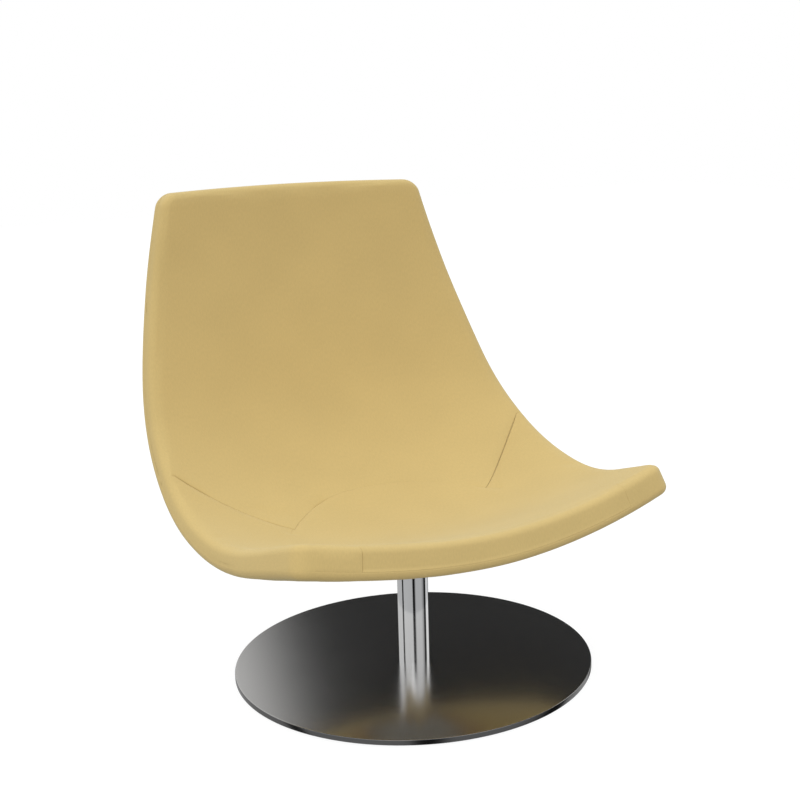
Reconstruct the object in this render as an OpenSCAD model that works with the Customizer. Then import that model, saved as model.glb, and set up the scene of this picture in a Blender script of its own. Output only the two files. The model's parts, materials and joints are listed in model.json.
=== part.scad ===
// Pedestal swivel armchair: an upholstered shell seat that turns on a chromed
// column over a flat round steel base. Millimetres, +Z up, the sitter looks
// towards -Y, and the origin is on the floor under the swivel axis.

/* [Base] */
// Diameter of the round base plate
base_d = 700; // [560:10:800]
// Thickness of the base plate
base_t = 10; // [8:1:16]
// Radius on the top edge of the base plate
base_edge_r = 1.5; // [0.5:0.5:3]
// Thickness of the floor pad under the base plate
pad_t = 2; // [1:0.5:4]
// Distance from the rim of the base plate to the floor pad
pad_inset = 10; // [4:1:30]

/* [Column] */
// Outer diameter of the column tube
tube_d = 60; // [58:1:70]
// Wall of the column tube
tube_wall = 3; // [2:0.5:4]
// Height of the turned plug inside the foot of the tube
plug_h = 36; // [32:1:44]
// Thread diameter of the screws that hold the column to the base
base_screw_d = 8; // [6:1:8]
// Length of the base screws, head included
base_screw_len = 28; // [20:1:32]
// Least distance from the heads of the base screws to the rim of the plug
base_screw_land = 1.5; // [1:0.5:3]
// Number of base screws
base_screw_count = 4; // [3:1:5]

/* [Swivel] */
// Bore of the plain bushes round the swivel spindle, as a share of the tube's bore
bush_bore_share = 0.55; // [0.48:0.01:0.62]
// Lowest point of the spindle above the floor
spindle_foot_z = 64; // [60:1:75]
// Radial running clearance between spindle and bushes
running_gap = 0.05; // [0.02:0.01:0.1]
// Length of each plain bush inside the tube
bush_len = 28; // [18:1:36]
// Thickness of the upper bush's flange on the tube
bush_flange_t = 2.5; // [2:0.5:4]
// Width of the thrust bearing's races
race_w = 8.5; // [7.5:0.5:9]
// Thickness of each race of the thrust bearing
race_t = 3; // [2.5:0.5:4]
// Diameter of the balls in the thrust bearing
ball_d = 6; // [5:0.5:6.5]
// Distance between the balls, as a share of a ball's diameter
ball_pitch_share = 1.45; // [1.2:0.05:2]
// Thickness of the ball cage
cage_t = 2; // [1.5:0.5:2.5]
// Thickness of the spindle's head under the seat plate
head_t = 7; // [5:1:10]
// Wall of the turned cover around the top of the column
cover_wall = 2.5; // [2:0.5:4]
// How far that cover reaches down over the tube
cover_lap = 12; // [6:1:20]

/* [Seat mounting] */
// Side of the square steel seat plate
plate_side = 170; // [165:5:185]
// Thickness of the seat plate
plate_t = 6; // [4:1:10]
// Radius of the seat plate's corners
plate_corner_r = 20; // [10:1:30]
// Distance between the seat screws, both ways
seat_screw_pitch = 130; // [115:5:140]
// Thread diameter of the seat screws
seat_screw_d = 8; // [6:1:8]
// How far the spacer block stands below the upholstery
block_drop = 6; // [4:1:12]
// Breadth of the spacer block's lower face, as a share of its breadth at the shell
block_taper = 0.9; // [0.85:0.05:1]
// Length of the threaded inserts in the spacer block
insert_len = 10; // [8:1:12]

/* [Shell] */
// Length of the seat and back along the centre line, front lip to top edge
shell_len = 1192; // [1100:2:1260]
// Distance of the front lip ahead of the swivel axis
lip_y = 319; // [300:1:335]
// Height of the front lip's upper face at its middle
lip_z = 363; // [350:1:400]
// Greatest half width of the shell
half_w = 420; // [380:1:460]
// Greatest rise of the side edges above the middle
wing_rise = 72; // [40:1:90]
// Thickness of the shell at the front lip
lip_t = 62; // [54:1:70]
// Thickness of the shell everywhere else
shell_t = 46; // [42:1:54]
// Radius of the rounded edge all round
edge_r = 16; // [15:0.5:20]
// Radius of the four corners seen from above
corner_r = 28; // [24:1:40]
// How far the front edge is set back at its ends
front_sweep = 15; // [0:1:30]
// How far the top edge is set down at its ends
top_sweep = 7; // [0:1:20]

/* [Upholstery] */
// Thickness of the sewn fabric cover
cover_t = 2; // [1.5:0.5:3]
// Thickness of the moulded plywood core
core_t = 9; // [7:1:10]
// How far the seams are drawn in below the faces beside them
seam_sink = 1; // [0:0.25:1.25]
// Half width of the seat panel at its rear corners, as a share of the shell's
panel_rear_share = 0.52; // [0.45:0.01:0.6]
// Half width of the seat panel at the front lip, as a share of the shell's
panel_front_share = 0.72; // [0.6:0.01:0.8]
// Length of the seat panel from the front lip, as a share of the shell's length
panel_len_share = 0.427; // [0.4:0.001:0.46]

/* [Hidden] */

// One overrun for every cut that goes right through
over = 1;
// Radial clearance of a piece pushed into its seat
push_gap = 0.05;
// Radial clearance of a screw in its thread or hole
screw_gap = 0.1;
// Radial clearance between pieces that turn past each other
turn_gap = 1;
// Facets of turned and drilled pieces
turned_fn = 96;

// Slope of the centre line at even stations from lip to top, degrees from level
slope_deg = [-18, -16, 10, 40, 69, 78, 86];
// Half width of the shell at the same stations, as shares of the greatest
width_shares = [0.92, 0.98, 1, 0.975, 0.915, 0.81, 0.685];
// Rise of the side edges at the same stations, as shares of the greatest
rise_shares = [0.8, 0.82, 1, 1, 0.76, 0.5, 0.42];
// Power of the curve across the shell: 2 is a parabola
wing_power = 1.85;
// Share of the length over which the lip thins down to the shell
lip_blend_share = 0.35;
// Steps along the centre line when its slope is summed
line_steps = 96;

// Base, from the floor up
base_edge_angles = [0, 30, 60, 90];
plate_z0 = pad_t;
plate_z1 = plate_z0 + base_t;
tube_r = tube_d / 2;
bore_r = tube_r - tube_wall;
plug_r = bore_r - push_gap;
plug_z1 = plate_z1 + plug_h;
base_screw_r = base_screw_d / 2;
base_head_r = base_screw_d;
base_ring_r = plug_r - base_head_r - base_screw_land;
base_head_h = base_head_r - base_screw_r;
// Room past the tip of a screw in a blind hole
tip_room = 2;

// Spindle and its foot: ring groove, ring, washer and lower bush
bush_r = bore_r * bush_bore_share;
spindle_r = bush_r - running_gap;
// Radius of the stub through the seat plate, as a share of the spindle's
stub_share = 0.8;
stub_r = spindle_r * stub_share;
groove_t = 2;
groove_d = 1.2;
foot_land = 4;
ring_z = spindle_foot_z + foot_land;
ring_w = 3;
ring_slot = 8;
washer_t = 1.5;
washer_w = 8;
end_float = 0.2;
washer_z = ring_z + groove_t - push_gap;
lower_bush_z = washer_z + washer_t + end_float;

// Thrust bearing
race_in_r = spindle_r + turn_gap / 2;
race_out_r = race_in_r + race_w;
race_mid_r = race_in_r + race_w / 2;
head_r = race_out_r + turn_gap;
ball_r = ball_d / 2;
ball_count = floor(2 * PI * race_mid_r / (ball_d * ball_pitch_share));
// Clearance between the balls and the race that turns over them
ball_gap = 0.3;
// Depth of the ball track in each race, as a share of the ball
track_share = 0.15;
track_steps = 12;
race_gap = ball_d * (1 - 2 * track_share);
cage_rim = 0.4;
cover_r = tube_r + turn_gap;

// Seat fasteners
seat_screw_r = seat_screw_d / 2;
seat_washer_t = 1.6;
seat_washer_r = seat_screw_d;
// Sizes of a standard screw's head and of its insert, as shares of its thread
seat_head_h_share = 0.66;
seat_head_r_share = 0.94;
insert_r_share = 0.75;
seat_head_h = seat_screw_d * seat_head_h_share;
seat_head_r = seat_screw_d * seat_head_r_share;
insert_r = seat_screw_d * insert_r_share;

fabric_colour = "#cbb06c";
seat_colour = "#d8c288";
foam_colour = "#e8dfc4";
wood_colour = "#c39b6a";
dark_steel_colour = "#3c3a38";
painted_steel_colour = "#b4b0a6";
steel_colour = "#9a9ca0";
chrome_colour = "#d8dadd";
brass_colour = "#b99a4c";
plastic_colour = "#d9d5c8";
rubber_colour = "#2b2b2d";

// Smooth curve through evenly spaced values, at a share s of their length
function spline(v, s) =
    let (n = len(v) - 1, x = min(max(s, 0), 1) * n, k = min(floor(x), n - 1), t = x - k,
         m0 = k == 0 ? v[1] - v[0] : (v[k + 1] - v[k - 1]) / 2,
         m1 = k == n - 1 ? v[n] - v[n - 1] : (v[k + 2] - v[k]) / 2)
    (2 * t ^ 3 - 3 * t ^ 2 + 1) * v[k] + (t ^ 3 - 2 * t ^ 2 + t) * m0
    + (3 * t ^ 2 - 2 * t ^ 3) * v[k + 1] + (t ^ 3 - t ^ 2) * m1;

// Centre line of the upper face in the plane X = 0, as [y, z] at each step
line_step = shell_len / line_steps;
centre_line = [
    for (k = 0, y = -lip_y, z = lip_z; k <= line_steps;
         a = spline(slope_deg, k / line_steps),
         b = spline(slope_deg, (k + 1) / line_steps),
         y = y + line_step * (cos(a) + cos(b)) / 2,
         z = z + line_step * (sin(a) + sin(b)) / 2, k = k + 1) [y, z]
];

function centre_at(s) =
    let (x = min(max(s, 0), 1) * line_steps, k = min(floor(x), line_steps - 1),
         a = spline(slope_deg, s), past = (s - min(max(s, 0), 1)) * shell_len)
    centre_line[k] + (x - k) * (centre_line[k + 1] - centre_line[k])
    + past * [cos(a), sin(a)];

// Point of the upper face: u is -1 to 1 across, s is 0 to 1 from lip to top
function face_point(u, s) =
    let (c = centre_at(s), a = spline(slope_deg, s),
         rise = wing_rise * spline(rise_shares, s) * pow(abs(u), wing_power))
    [u * half_w * spline(width_shares, s), c[0] - sin(a) * rise, c[1] + cos(a) * rise];

function face_normal(u, s) =
    let (e = 0.001,
         across = face_point(u + e, s) - face_point(u - e, s),
         along = face_point(u, s + e) - face_point(u, s - e),
         n = cross(across, along))
    n / norm(n);

function thickness(s) =
    shell_t + (lip_t - shell_t) * pow(max(1 - max(s, 0) / lip_blend_share, 0), 2);

// Place on the face at a from the side edge and b from the front edge, both in
// the flat pattern of the shell. Gives [point, normal, thickness].
function place(side, a, b) =
    let (u = side * (1 - a / (half_w * spline(width_shares, b / shell_len))),
         s0 = front_sweep * u ^ 2 / shell_len,
         s1 = 1 - top_sweep * u ^ 2 / shell_len,
         s = s0 + (s1 - s0) * b / shell_len)
    [face_point(u, s), face_normal(u, s), thickness(s)];

// Mesh of the shell. Columns run across it and rows along it. The seams of the
// seat panel lie on columns -seam_col and seam_col and on row seam_row.
seam_col = 5;
last_col = 8;
seam_row = 7;
last_row = 18;
corner_steps = 3;
// Places of the seat panel's columns between its middle and its seam
function seam_col_share(i) = (i / seam_col + sin(90 * i / seam_col)) / 2;

// Half width of the seat panel at a share f of the way to the seam row
function panel_share(f) =
    panel_rear_share + (panel_front_share - panel_rear_share) * pow(1 - f, 0.65);

// Seam row: an arc behind the seat panel, then a dart from its corner to each
// side edge. The arc drops and the dart rises by these shares of the length.
arc_drop_share = 0.096;
arc_power = 2.4;
dart_rise_share = 0.17;
dart_power = 1.12;

function arc_s(u) = panel_len_share - arc_drop_share * pow(u / panel_rear_share, arc_power);

function seam_s(u) =
    u <= panel_rear_share ? arc_s(u)
    : arc_s(panel_rear_share) + dart_rise_share
      * pow((u - panel_rear_share) / (1 - panel_rear_share), dart_power);

// Distance from the front edge, in the flat pattern, of row j at u across
function row_b(u, j) =
    let (s0 = front_sweep * u ^ 2 / shell_len, s1 = 1 - top_sweep * u ^ 2 / shell_len,
         seam_b = shell_len * (seam_s(u) - s0) / (s1 - s0))
    j <= seam_row
    ? corner_r + (seam_b - corner_r) * j / seam_row
    : seam_b + (shell_len - corner_r - seam_b) * (j - seam_row) / (last_row - seam_row);

// Where column i stands on row j: [side, a, b]
function mesh_site(i, j) =
    let (side = i < 0 ? -1 : 1, col = abs(i),
         seam_u = panel_share(min(j / seam_row, 1)),
         edge_u = 1 - corner_r / (half_w * spline(width_shares, row_b(seam_u, j) / shell_len)),
         u = col <= seam_col ? seam_u * seam_col_share(col)
             : seam_u + (edge_u - seam_u) * (col - seam_col) / (last_col - seam_col),
         b = row_b(u, j))
    [side, col == last_col ? corner_r : (1 - u) * half_w * spline(width_shares, b / shell_len), b];

columns = [for (i = [-last_col:last_col]) i];
rows = [for (j = [0:last_row]) j];
sites = [for (i = columns) for (j = rows) mesh_site(i, j)];
function at(i, j) = (i + last_col) * (last_row + 1) + j;
middle_count = len(sites);
middle_places = [for (m = sites) place(m[0], m[1], m[2])];

// Stations of the edge band, anticlockwise from above from the front corner on
// the -X side. Each is [column, row, step across, step along], pointing outwards.
fan = [for (k = [1:corner_steps]) 90 * k / (corner_steps + 1)];
stations = concat(
    [for (i = columns) [i, 0, 0, -1]],
    [for (t = fan) [last_col, 0, sin(t), -cos(t)]],
    [for (j = rows) [last_col, j, 1, 0]],
    [for (t = fan) [last_col, last_row, cos(t), sin(t)]],
    [for (i = columns) [-i, last_row, 0, 1]],
    [for (t = fan) [-last_col, last_row, sin(t), cos(t)]],
    [for (j = rows) [-last_col, last_row - j, 1, 0]],
    [for (t = fan) [-last_col, 0, cos(t), -sin(t)]]
);
loop = len(stations);
// Stations at the middle of the front and top edges and at the ends of the seams
front_mid = last_col;
top_mid = front_mid + loop / 2;
panel_from = last_col - seam_col;
panel_to = last_col + seam_col;
dart_left = 2 * last_col + corner_steps + 1 + seam_row;
dart_right = loop - corner_steps - 1 - seam_row;

// Rise of the darts along the shell for each step across it, in the edge band
dart_slant = dart_rise_share * dart_power * shell_len / ((1 - panel_rear_share) * half_w);

// Place in the edge band of station p, at a distance "inset" from the edge
function band_place(p, inset) =
    let (st = stations[p], m = sites[at(st[0], st[1])], out = corner_r - inset,
         slant = p == dart_left || p == dart_right
                 ? dart_slant * min(out, corner_r - edge_r) : 0)
    place(m[0], m[1] - out * st[2], m[2] + out * st[3] + slant);

// Points below the upper face, and above the underside
function below_face(q, depth) = q[0] - q[1] * depth;
function above_base(q, height) = q[0] - q[1] * (q[2] - height);

// Angles at which the rounded edge is meshed, from the face to the wall
upper_angles = [90, 60, 30, 0];
lower_angles = [90, 45];
upper_rings = len(upper_angles) + 1;
lower_rings = len(lower_angles) + 1;

function drawn_in(i, j) =
    j == seam_row || (abs(i) == seam_col && j < seam_row) ? seam_sink : 0;

function foot_point(p, in) = above_base(band_place(p, in), edge_r);

// Points of the upper side of a layer that lies "in" under the outer skin: its
// middle, then for each station the rounded edge and the foot of the wall
function upper_points(in, sunk) = concat(
    [for (i = columns) for (j = rows)
        below_face(middle_places[at(i, j)], in + sunk * drawn_in(i, j))],
    [for (p = [0:loop - 1]) for (k = [0:upper_rings - 1])
        k == upper_rings - 1 ? foot_point(p, in)
        : let (r = edge_r - in, t = upper_angles[k], st = stations[p],
               dip = k == 0 ? sunk * drawn_in(st[0], st[1]) : 0)
          below_face(band_place(p, in + r * (1 - cos(t))), in + r * (1 - sin(t)) + dip)]
);

// The same for the underside
function lower_points(in) = concat(
    middle_at(in),
    [for (p = [0:loop - 1]) for (k = [0:lower_rings - 1])
        k == lower_rings - 1 ? foot_point(p, in)
        : let (r = edge_r - in, t = lower_angles[k])
          above_base(band_place(p, in + r * (1 - cos(t))), in + r * (1 - sin(t)))]
);

// Points of the middle at a height above the underside
function middle_at(height) = [for (q = middle_places) above_base(q, height)];

upper_count = middle_count + loop * upper_rings;
lower_count = middle_count + loop * lower_rings;

// Two triangles, clockwise from outside, split from a to c or from b to d
function quad(a, b, c, d, split_bd) =
    split_bd ? [[a, b, d], [b, c, d]] : [[a, b, c], [a, c, d]];

function flipped(faces) = [for (f = faces) [f[0], f[2], f[1]]];

// The opening in the underside for the spacer block
patch_col = 2;
patch_row0 = 3;
patch_row1 = 6;
function in_patch(i, j) =
    i >= -patch_col && i < patch_col && j >= patch_row0 && j < patch_row1;

// Cells of the middle from column i0 to i1 and row j0 to j1, seen from above
function cells(i0, i1, j0, j1, first, open = false) = [
    for (i = [i0:i1 - 1]) for (j = [j0:j1 - 1])
        if (!(open && in_patch(i, j)))
            each quad(first + at(i, j), first + at(i, j + 1), first + at(i + 1, j + 1),
                      first + at(i + 1, j), i < 0)
];
function all_cells(first, open = false) =
    cells(-last_col, last_col, 0, last_row, first, open);

// Rings of points round the shell: the border of the middle, and ring k of the band
function border(first) = [for (st = stations) first + at(st[0], st[1])];
function ring(first, count, k) =
    [for (p = [0:loop - 1]) first + middle_count + p * count + k];

// Faces between two rings, seen from above, over the stations listed
function between(inner, outer, list) = [
    for (p = list)
        let (q = (p + 1) % loop)
        each inner[p] == inner[q] ? [[inner[p], outer[q], outer[p]]]
             : quad(inner[p], inner[q], outer[q], outer[p], p < front_mid || p >= top_mid)
];
function run(p0, p1) = [for (p = [p0:p1 - 1]) p % loop];
whole = run(0, loop);

function upper_band(first, list) = concat(
    between(border(first), ring(first, upper_rings, 0), list),
    [for (k = [0:upper_rings - 2])
        each between(ring(first, upper_rings, k), ring(first, upper_rings, k + 1), list)]
);
function lower_band(first) = concat(
    between(border(first), ring(first, lower_rings, 0), whole),
    [for (k = [0:lower_rings - 2])
        each between(ring(first, lower_rings, k), ring(first, lower_rings, k + 1), whole)]
);

// Wall under a path that runs clockwise, between two layers of the same points
function wall(path, top, bottom) = [
    for (k = [0:len(path) - 2])
        let (m = path[k], n = path[k + 1])
        each quad(n + top, m + top, m + bottom, n + bottom, m < n)
];
function closed(path) = concat(path, [path[0]]);

border_path = closed(concat(
    [for (j = rows) at(-last_col, j)],
    [for (i = [-last_col + 1:last_col]) at(i, last_row)],
    [for (j = [1:last_row]) at(last_col, last_row - j)],
    [for (i = [1:2 * last_col - 1]) at(last_col - i, 0)]
));
patch_path = concat(
    [for (j = [patch_row0:patch_row1]) [-patch_col, j]],
    [for (i = [-patch_col + 1:patch_col]) [i, patch_row1]],
    [for (j = [1:patch_row1 - patch_row0]) [patch_col, patch_row1 - j]],
    [for (i = [1:2 * patch_col - 1]) [patch_col - i, patch_row0]]
);
opening_path = closed([for (c = patch_path) at(c[0], c[1])]);

// Points down the edge band at a station, from the face to the foot of the wall
function down(p) = [for (k = [0:upper_rings - 1]) middle_count + p * upper_rings + k];
function up(p) = let (v = down(p)) [for (k = [1:upper_rings]) v[upper_rings - k]];

// A sewn panel: cells i0 to i1 and j0 to j1, stations p0 to p1, and its seams
module panel(i0, i1, j0, j1, p0, p1, seam) {
    list = run(p0, p1);
    foot = upper_rings - 1;
    polyhedron(
        points = concat(upper_points(0, 1), upper_points(cover_t, 0)),
        faces = concat(
            cells(i0, i1, j0, j1, 0), upper_band(0, list),
            flipped(concat(
                cells(i0, i1, j0, j1, upper_count), upper_band(upper_count, list),
                between(ring(upper_count, upper_rings, foot), ring(0, upper_rings, foot), list))),
            wall(seam, 0, upper_count))
    );
}

// Heights of the seat mounting and the swivel, from the underside of the shell down
skin_low_z = min([for (c = patch_path) above_base(middle_places[at(c[0], c[1])], 0)[2]]);
core_base = edge_r - core_t;
block_z = skin_low_z - block_drop;
seat_plate_z = block_z - plate_t;
head_z = seat_plate_z - head_t;
ball_z = head_z - race_t - race_gap / 2;
lower_race_z = ball_z - race_gap / 2 - race_t;
tube_top_z = lower_race_z - bush_flange_t;
cover_z = tube_top_z - cover_lap;

// A ring turned about the axis
module turned_ring(r_in, r_out, z0, z1)
    turned([[r_in, z0], [r_out, z0], [r_out, z1], [r_in, z1]]);

module turned(profile) rotate_extrude($fn = turned_fn) polygon(profile);

module around(count, r) for (k = [0:count - 1]) rotate([0, 0, 360 * k / count]) translate([r, 0, 0]) children();

module at_seat_screws()
    for (x = [-1, 1]) for (y = [-1, 1])
        translate([x * seat_screw_pitch / 2, y * seat_screw_pitch / 2, 0]) children();

module floor_pad() color(rubber_colour) cylinder(h = pad_t, r = base_d / 2 - pad_inset, $fn = turned_fn);

module base_plate() color(dark_steel_colour) difference() {
    turned(concat(
        [[0, plate_z0], [base_d / 2, plate_z0]],
        [for (t = base_edge_angles) [base_d / 2 - base_edge_r * (1 - cos(t)),
                              plate_z1 - base_edge_r * (1 - sin(t))]],
        [[0, plate_z1]]));
    around(base_screw_count, base_ring_r) {
        translate([0, 0, plate_z0 - over])
            cylinder(h = base_t + 2 * over, r = base_screw_r + screw_gap, $fn = turned_fn);
        translate([0, 0, plate_z0 - over])
            cylinder(h = over, r = base_head_r + screw_gap, $fn = turned_fn);
        translate([0, 0, plate_z0])
            cylinder(h = base_head_h, r1 = base_head_r + screw_gap,
                     r2 = base_screw_r + screw_gap, $fn = turned_fn);
    }
}

module base_screws() color(steel_colour) around(base_screw_count, base_ring_r)
    turned([[0, plate_z0], [base_head_r, plate_z0], [base_screw_r, plate_z0 + base_head_h],
            [base_screw_r, plate_z0 + base_screw_len], [0, plate_z0 + base_screw_len]]);

module foot_plug() color(steel_colour) difference() {
    translate([0, 0, plate_z1]) cylinder(h = plug_h, r = plug_r, $fn = turned_fn);
    around(base_screw_count, base_ring_r)
        translate([0, 0, plate_z0])
            cylinder(h = base_screw_len + tip_room, r = base_screw_r + screw_gap, $fn = turned_fn);
}

module column_tube() color(chrome_colour) turned_ring(bore_r, tube_r, plate_z1, tube_top_z);

module lower_bush() color(plastic_colour)
    turned_ring(bush_r, plug_r, lower_bush_z, lower_bush_z + bush_len);

module upper_bush() color(plastic_colour)
    turned([[bush_r, tube_top_z - bush_len], [plug_r, tube_top_z - bush_len], [plug_r, tube_top_z],
            [tube_r, tube_top_z], [tube_r, lower_race_z], [bush_r, lower_race_z]]);

// Ball track of a race as an arc about the ball's centre
function track(r, side) = [
    for (k = [0:track_steps])
        let (half = acos(race_gap / 2 / r), t = half * (1 - 2 * k / track_steps))
        [race_mid_r + r * sin(t), ball_z + side * r * cos(t)]
];

module thrust_race_lower() color(steel_colour)
    turned(concat([[race_in_r, lower_race_z], [race_out_r, lower_race_z],
                   [race_out_r, lower_race_z + race_t]],
                  track(ball_r + push_gap, -1), [[race_in_r, lower_race_z + race_t]]));

module thrust_race_upper() color(steel_colour)
    turned(concat([[race_in_r, head_z], [race_out_r, head_z], [race_out_r, head_z - race_t]],
                  track(ball_r + ball_gap, 1), [[race_in_r, head_z - race_t]]));

module thrust_cage() color(brass_colour) difference() {
    turned_ring(race_in_r + cage_rim, race_out_r - cage_rim, ball_z - cage_t / 2, ball_z + cage_t / 2);
    around(ball_count, race_mid_r) translate([0, 0, ball_z - cage_t / 2 - over])
        cylinder(h = cage_t + 2 * over, r = ball_r + push_gap, $fn = turned_fn);
}

module thrust_balls() color(chrome_colour) around(ball_count, race_mid_r)
    translate([0, 0, ball_z]) sphere(r = ball_r, $fn = turned_fn);

module swivel_spindle() color(steel_colour)
    turned([[0, spindle_foot_z], [spindle_r - groove_d, spindle_foot_z],
            [spindle_r, spindle_foot_z + groove_d], [spindle_r, ring_z], [spindle_r - groove_d, ring_z],
            [spindle_r - groove_d, ring_z + groove_t], [spindle_r, ring_z + groove_t],
            [spindle_r, head_z], [head_r, head_z], [head_r, seat_plate_z], [stub_r, seat_plate_z],
            [stub_r, block_z], [0, block_z]]);

module retaining_washer() color(steel_colour)
    turned_ring(spindle_r + screw_gap, spindle_r + washer_w, washer_z, washer_z + washer_t);

module retaining_ring() color(dark_steel_colour) difference() {
    turned_ring(spindle_r - groove_d + push_gap, spindle_r + ring_w, ring_z + push_gap, washer_z);
    translate([0, -ring_slot / 2, ring_z]) cube([spindle_r + ring_w + over, ring_slot, groove_t]);
}

module column_cover() color(chrome_colour)
    turned([[head_r + push_gap, seat_plate_z - cover_wall], [cover_r, seat_plate_z - cover_wall],
            [cover_r, cover_z], [cover_r + cover_wall, cover_z], [cover_r + cover_wall, seat_plate_z],
            [head_r + push_gap, seat_plate_z]]);

module seat_plate() color(painted_steel_colour) {
    inner_side = plate_side - 2 * plate_corner_r;
    difference() {
        translate([0, 0, seat_plate_z]) union() {
            translate([-inner_side / 2, -plate_side / 2, 0]) cube([inner_side, plate_side, plate_t]);
            translate([-plate_side / 2, -inner_side / 2, 0]) cube([plate_side, inner_side, plate_t]);
            for (x = [-1, 1]) for (y = [-1, 1])
                translate([x * inner_side / 2, y * inner_side / 2, 0])
                    cylinder(h = plate_t, r = plate_corner_r, $fn = turned_fn);
        }
        translate([0, 0, seat_plate_z - over])
            cylinder(h = plate_t + 2 * over, r = stub_r + push_gap, $fn = turned_fn);
        at_seat_screws() translate([0, 0, seat_plate_z - over])
            cylinder(h = plate_t + 2 * over, r = seat_screw_r + screw_gap, $fn = turned_fn);
    }
}

module seat_screws() color(steel_colour) at_seat_screws() {
    translate([0, 0, seat_plate_z - seat_washer_t - seat_head_h])
        cylinder(h = seat_head_h, r = seat_head_r, $fn = 6);
    translate([0, 0, seat_plate_z - seat_washer_t - over])
        cylinder(h = seat_washer_t + plate_t + insert_len + over, r = seat_screw_r, $fn = turned_fn);
}

module seat_washers() color(steel_colour) at_seat_screws()
    turned_ring(seat_screw_r + screw_gap, seat_washer_r, seat_plate_z - seat_washer_t, seat_plate_z);

module block_inserts() color(brass_colour) at_seat_screws()
    turned_ring(seat_screw_r + screw_gap, insert_r, block_z, block_z + insert_len);

function pat(i, j) = (i + patch_col) * (patch_row1 - patch_row0 + 1) + j - patch_row0;

module spacer_block() color(wood_colour) {
    path = closed([for (c = patch_path) pat(c[0], c[1])]);
    spots = [for (i = [-patch_col:patch_col]) for (j = [patch_row0:patch_row1])
        middle_places[at(i, j)]];
    count = len(spots);
    face = [for (i = [-patch_col:patch_col - 1]) for (j = [patch_row0:patch_row1 - 1])
        each quad(pat(i, j), pat(i, j + 1), pat(i + 1, j + 1), pat(i + 1, j), i < 0)];
    difference() {
        polyhedron(
            points = concat(
                [for (q = spots) above_base(q, core_base)],
                [for (q = spots) above_base(q, cover_t)],
                [for (q = spots) above_base(q, 0)],
                [for (q = spots) let (p = above_base(q, 0))
                    [p[0] * block_taper, p[1] * block_taper, block_z]]),
            faces = concat(
                face, wall(path, 0, count), wall(path, count, 2 * count),
                wall(path, 2 * count, 3 * count), flipped([for (f = face) f + [1, 1, 1] * 3 * count]))
        );
        at_seat_screws() translate([0, 0, block_z - over])
            cylinder(h = insert_len + 2 * over, r = insert_r + push_gap, $fn = turned_fn);
    }
}

module shell_core() color(wood_colour) polyhedron(
    points = concat(middle_at(edge_r), middle_at(core_base)),
    faces = concat(all_cells(0), flipped(all_cells(middle_count)),
                   wall(border_path, 0, middle_count))
);

module front_foam() color(foam_colour) polyhedron(
    points = concat(upper_points(cover_t, 0), middle_at(edge_r)),
    faces = concat(
        all_cells(0), upper_band(0, whole),
        flipped(concat(all_cells(upper_count),
                       between(border(upper_count), ring(0, upper_rings, upper_rings - 1), whole))))
);

module rear_foam() color(foam_colour) polyhedron(
    points = concat(middle_at(edge_r), middle_at(core_base), lower_points(cover_t)),
    faces = concat(
        between(border(0), ring(2 * middle_count, lower_rings, lower_rings - 1), whole),
        all_cells(middle_count, open = true),
        flipped(concat(
            wall(border_path, 0, middle_count),
            all_cells(2 * middle_count, open = true),
            lower_band(2 * middle_count),
            wall(opening_path, middle_count, 2 * middle_count))))
);

module outer_cover() color(fabric_colour) polyhedron(
    points = concat(lower_points(0), lower_points(cover_t)),
    faces = concat(
        all_cells(lower_count, open = true), lower_band(lower_count),
        between(ring(lower_count, lower_rings, lower_rings - 1),
                ring(0, lower_rings, lower_rings - 1), whole),
        flipped(concat(all_cells(0, open = true), lower_band(0),
                       wall(opening_path, lower_count, 0))))
);

module seat_panel() color(seat_colour)
    panel(-seam_col, seam_col, 0, seam_row, panel_from, panel_to,
          concat(up(panel_from), [for (j = [0:seam_row]) at(-seam_col, j)],
                 [for (i = [-seam_col + 1:seam_col]) at(i, seam_row)],
                 [for (j = [1:seam_row]) at(seam_col, seam_row - j)], down(panel_to)));

module left_corner_panel() color(fabric_colour)
    panel(seam_col, last_col, 0, seam_row, panel_to, dart_left,
          concat(up(panel_to), [for (j = [0:seam_row]) at(seam_col, j)],
                 [for (i = [seam_col + 1:last_col]) at(i, seam_row)], down(dart_left)));

module right_corner_panel() color(fabric_colour)
    panel(-last_col, -seam_col, 0, seam_row, dart_right, loop + panel_from,
          concat(up(dart_right), [for (i = [-last_col:-seam_col]) at(i, seam_row)],
                 [for (j = [1:seam_row]) at(-seam_col, seam_row - j)], down(panel_from)));

module back_panel() color(fabric_colour)
    panel(-last_col, last_col, seam_row, last_row, dart_left, dart_right,
          concat(up(dart_left), [for (i = [0:2 * last_col]) at(last_col - i, seam_row)],
                 down(dart_right)));

floor_pad();
base_plate();
base_screws();
foot_plug();
column_tube();
lower_bush();
upper_bush();
thrust_race_lower();
thrust_cage();
thrust_balls();
thrust_race_upper();
swivel_spindle();
retaining_washer();
retaining_ring();
column_cover();
seat_plate();
seat_screws();
seat_washers();
block_inserts();
spacer_block();
shell_core();
front_foam();
rear_foam();
back_panel();
seat_panel();
left_corner_panel();
right_corner_panel();
outer_cover();
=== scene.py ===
"""Dresses the pedestal swivel armchair: upholstery, metals, floor, light and camera.

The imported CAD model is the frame. The sewn covers and the foam are built over the same
curved shell that the CAD solids follow, in finer meshes, and a short cloth simulation
settles the fabric between its seams. Sizes are in millimetres until a mesh is made.
"""

import json
import logging
import math
from collections.abc import Iterable, Sequence
from dataclasses import dataclass, field
from enum import Enum

import bpy
import numpy as np
from mathutils import Matrix, Vector
from mathutils.kdtree import KDTree

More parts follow.
